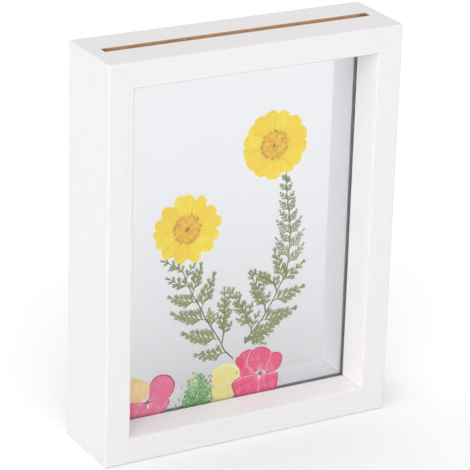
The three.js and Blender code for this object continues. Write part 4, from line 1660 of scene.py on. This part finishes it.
FERNS = [
    FernBranch("left_fern_frond", 5, [
        (2.2, 37), (-1, 40.3), (-3.8, 43.6), (-6, 48.5), (-9.8, 55), (-13.6, 60.8), (-16.6, 66),
        (-18.4, 70.2), (-22.6, 77), (-25, 82), (-27.4, 87.5), (-29.6, 93), (-33.6, 96.8), (-40.3, 100.6),
    ], [
        (-3, 41, -22, 43.4, -0.8), (-7, 50.3, -30, 57.8, -0.6),
        (-14.6, 63.2, -36.8, 70.4, -0.4), (-20.8, 74.6, -38.7, 80.2, -0.8),
        (-26, 84.2, -39.8, 91.6, -0.7), (-11.4, 58, -13.4, 69.6, 0.6),
        (-17.8, 69.8, -10.4, 90, 0.8), (-19.6, 73, -20.8, 76.8, 0.2),
        (-22.8, 79.4, -18.4, 96.8, 1), (-27.6, 88.4, -22.4, 97.4, 0.8),
        (-33.4, 96.6, -38.4, 95.6, 0),
    ], seed=31, leafy_from=0.84),
    FernBranch("left_fern_side_branch", 4, [
        (-5, 47.6), (-4.4, 53), (-4.6, 58), (-4.2, 64), (-3.8, 70), (-4.4, 77.4),
    ], [
        (-4.6, 52, 0.8, 59.4, 0.4), (-4.6, 56, -8.6, 66, 0.4),
        (-4.4, 60, 0.6, 66.4, 0.4), (-4.3, 64, -8.2, 72, 0.4),
        (-4, 67.4, -0.6, 76.4, 0.4),
    ], seed=32, leafy_from=0.25),
    FernBranch("right_fern_frond", 4, [
        (9.6, 46.6), (13, 50), (16.4, 54), (20.4, 58.6), (23.6, 63.8), (26.6, 68.6), (29, 74),
        (32, 79.4), (34, 86), (34.6, 94), (35, 101), (34.6, 110), (33.6, 118), (32, 127),
        (31.5, 134), (31.1, 139.6),
    ], [
        (12, 47, 22.6, 41.8, 0.6), (12.4, 47.6, 26.6, 48.7, -0.9), (13, 49, 30.2, 53.2, -0.5),
        (19.4, 56.2, 41, 60.2, -1.2), (25.8, 67, 45.4, 72.3, -1),
        (31.2, 77.6, 44.8, 87.2, -0.9), (34.3, 87.4, 44, 97.4, -0.8),
        (34.8, 96, 43.6, 105.8, -0.8), (34.9, 104, 41.6, 113.4, -0.6),
        (34.4, 111, 38.6, 118, -0.4), (33.7, 117, 37.2, 125, -0.4),
        (32.8, 123, 36.4, 128.4, 0), (31.9, 128.6, 35, 133.4, 0),
        (31.6, 133.4, 33.3, 137.4, 0), (31.6, 79, 25.2, 97.4, -1),
        (34.2, 90.8, 26, 103.6, -0.8), (34.8, 99.4, 28.6, 105.4, -0.2),
        (34.8, 104.6, 26.2, 113.6, -0.6), (34.4, 110.8, 27.6, 119, -0.4),
        (33.4, 118, 27.5, 124.6, -0.3), (32.4, 124.2, 27.7, 129, -0.2),
        (31.8, 129.8, 27.6, 134, 0), (31.4, 135, 28.9, 138.8, 0),
    ], seed=33, cut_base=True, slender_above=86),
    FernBranch("right_fern_lower_branch", 3, [
        (12.6, 49.6), (12.8, 53), (10.4, 57.4), (8.2, 63), (5.6, 68), (2.6, 72.6), (-0.4, 77.2),
    ], [
        (13, 53, 17.4, 62.4, 0.4), (11, 56.4, 3, 60.4, -0.5),
        (9.8, 59, 13, 68.8, 0.4), (8.2, 63, 1.8, 66, -0.4),
        (6.8, 65.8, 8.8, 70, 0.2), (5.4, 68.2, 0.6, 69.6, -0.2),
        (4.6, 69.6, 4.8, 75.8, 0.3),
    ], seed=34, leafy_from=0.25),
    FernBranch("right_fern_middle_branch", 5, [
        (21.4, 60.6), (20.6, 65), (18.6, 69), (17, 73), (14.8, 78), (11.8, 83.6),
    ], [
        (20.4, 65.6, 13.4, 71.4, -0.6), (20.6, 64, 23.8, 72.4, 0.5),
        (17.8, 71, 11.2, 75, -0.4), (17.8, 71, 20.2, 76.6, 0.4),
        (15.8, 76, 11.2, 79, -0.3),
    ], seed=35, leafy_from=0.25),
    FernBranch("right_fern_upper_branch", 3, [
        (28, 71.6), (26.8, 75), (24.4, 78.4), (20.8, 80.8), (17, 83), (13.2, 85.4),
    ], [
        (27.2, 74.4, 28.8, 81.2, 0.3), (24.6, 78.4, 16.6, 77.2, 0.8),
        (22.4, 80.2, 19.8, 84.6, 0.2), (19, 81.8, 16.2, 85.6, 0.1),
        (19.6, 81.4, 14.8, 81, 0.2),
    ], seed=36, leafy_from=0.25),
]

LACE = LaceFlower(
    outline=[
        (-27, 11), (-28.6, 17), (-26.4, 22.6), (-24.4, 29.6), (-18.6, 32.2), (-14.4, 28.4),
        (-11.4, 23), (-10.8, 16), (-12.6, 11), (-19.6, 9.8),
    ],
    strays=[(-25.5, 29.5), (-30.7, 19.3), (-27, 23), (-18.6, 31.2), (-32.5, 16.5), (-29.4, 25.6),
            (-12.4, 29.4), (-22.2, 33.4)],
    lemon=(-22, 28),
)
STAMENS = Stamens(centre=(-11.6, 28), crumbs=[(-10.4, 22.8), (-9.8, 16), (5.2, 28.5)])


# ---- the studio ------------------------------------------------------------------------------------------


@dataclass
class Studio:
    """A plain pale floor under a soft sky, with a broad key light to the front left and a fill behind it."""

    floor_half: float = 6.0
    floor_colour: Colour = (0.81, 0.81, 0.81, 1.0)
    floor_roughness: float = 0.9
    horizon: float = 1.0
    zenith: float = 0.9
    softness: float = 5.0
    key: float = 3.6
    key_way: Spot = (-0.55, -0.82, 0.18)
    fill: float = 1.5
    fill_way: Spot = (-0.6, 0.77, 0.2)

    def build(self) -> None:
        """Makes the floor and the light."""
        scene = bpy.context.scene
        scene.view_settings.view_transform = "Standard"
        scene.view_settings.look = "None"
        self.build_floor()
        self.build_light(scene)

    def build_floor(self) -> None:
        """Makes the floor."""
        mesh = bmesh.new()
        bmesh.ops.create_grid(mesh, x_segments=1, y_segments=1, size=self.floor_half)
        data = bpy.data.meshes.new("floor")
        mesh.to_mesh(data)
        mesh.free()
        graph = Skin("floor")
        data.materials.append(graph.dress(Base_Color=self.floor_colour, Roughness=self.floor_roughness,
                                          Specular_IOR_Level=0.0))
        floor = bpy.data.objects.new("floor", data)
        bpy.context.scene.collection.objects.link(floor)

    def build_light(self, scene: bpy.types.Scene) -> None:
        """Lights the scene from a soft sky.

        Args:
            scene: the scene that gets the sky.
        """
        world = bpy.data.worlds.new("studio")
        scene.world = world
        world.use_nodes = True
        graph = Graph(world.node_tree)
        way = graph.node("ShaderNodeTexCoord").outputs["Generated"]
        height = graph.math("MAXIMUM", graph.parts(way)[2], 0.0)
        sky = graph.math("MULTIPLY_ADD", height, self.zenith - self.horizon, self.horizon)
        lights = graph.math("ADD", self.lobe(graph, way, self.key_way, self.key),
                            self.lobe(graph, way, self.fill_way, self.fill))
        background = world.node_tree.nodes["Background"]
        graph.put(background.inputs["Strength"], graph.math("ADD", sky, lights))
        graph.put(background.inputs["Color"], (1.0, 1.0, 1.0, 1.0))

    def lobe(self, graph: Graph, way: bpy.types.NodeSocket, toward: Sequence[float], strength: float
             ) -> bpy.types.NodeSocket:
        """Makes a broad soft light that is brightest one way.

        Args:
            graph: the world's node tree.
            way: the way that a ray looks.
            toward: where the light is brightest.
            strength: how bright it is there.

        Returns:
            The socket that holds its strength.
        """
        inputs = {0: way, 1: Vector(toward).normalized()}
        facing = graph.node("ShaderNodeVectorMath", inputs, operation="DOT_PRODUCT")
        front = graph.math("MAXIMUM", facing.outputs["Value"], 0.0)
        return graph.math("MULTIPLY", graph.math("POWER", front, self.softness), strength)


@dataclass
class Camera:
    """A long lens that looks down on the frame from its front left."""

    azimuth: float = -29.47
    elevation: float = 21.72
    roll: float = 1.70
    distance: float = 1.3579
    target: Spot = (0.00137, 0.0, 0.1089)
    lens: float = 196.2
    nearest: float = 0.05

    def build(self) -> None:
        """Makes the camera and puts the scene on it."""
        a, e, r = (math.radians(angle) for angle in (self.azimuth, self.elevation, self.roll))
        back = Vector((math.sin(a) * math.cos(e), -math.cos(a) * math.cos(e), math.sin(e)))
        level = Vector((math.cos(a), math.sin(a), 0.0))
        up = back.cross(level)
        right = level * math.cos(r) + up * math.sin(r)
        above = up * math.cos(r) - level * math.sin(r)
        data = bpy.data.cameras.new("camera")
        data.lens = self.lens
        data.clip_start = self.nearest
        camera = bpy.data.objects.new("camera", data)
        turn = Matrix((right, above, back)).transposed().to_4x4()
        camera.matrix_world = Matrix.Translation(Vector(self.target) + back * self.distance) @ turn
        bpy.context.scene.collection.objects.link(camera)
        bpy.context.scene.camera = camera


def main() -> None:
    """Builds every part of the frame in order."""
    logging.basicConfig(level=logging.INFO, format="%(message)s")
    Studio().build()
    Camera().build()
    BoxFrame().build()
    for part in (*DAISIES, *LOOSE_PETALS, *EYES, *FERNS, LACE, STAMENS):
        part.build()


if __name__ == "__main__":
    main()
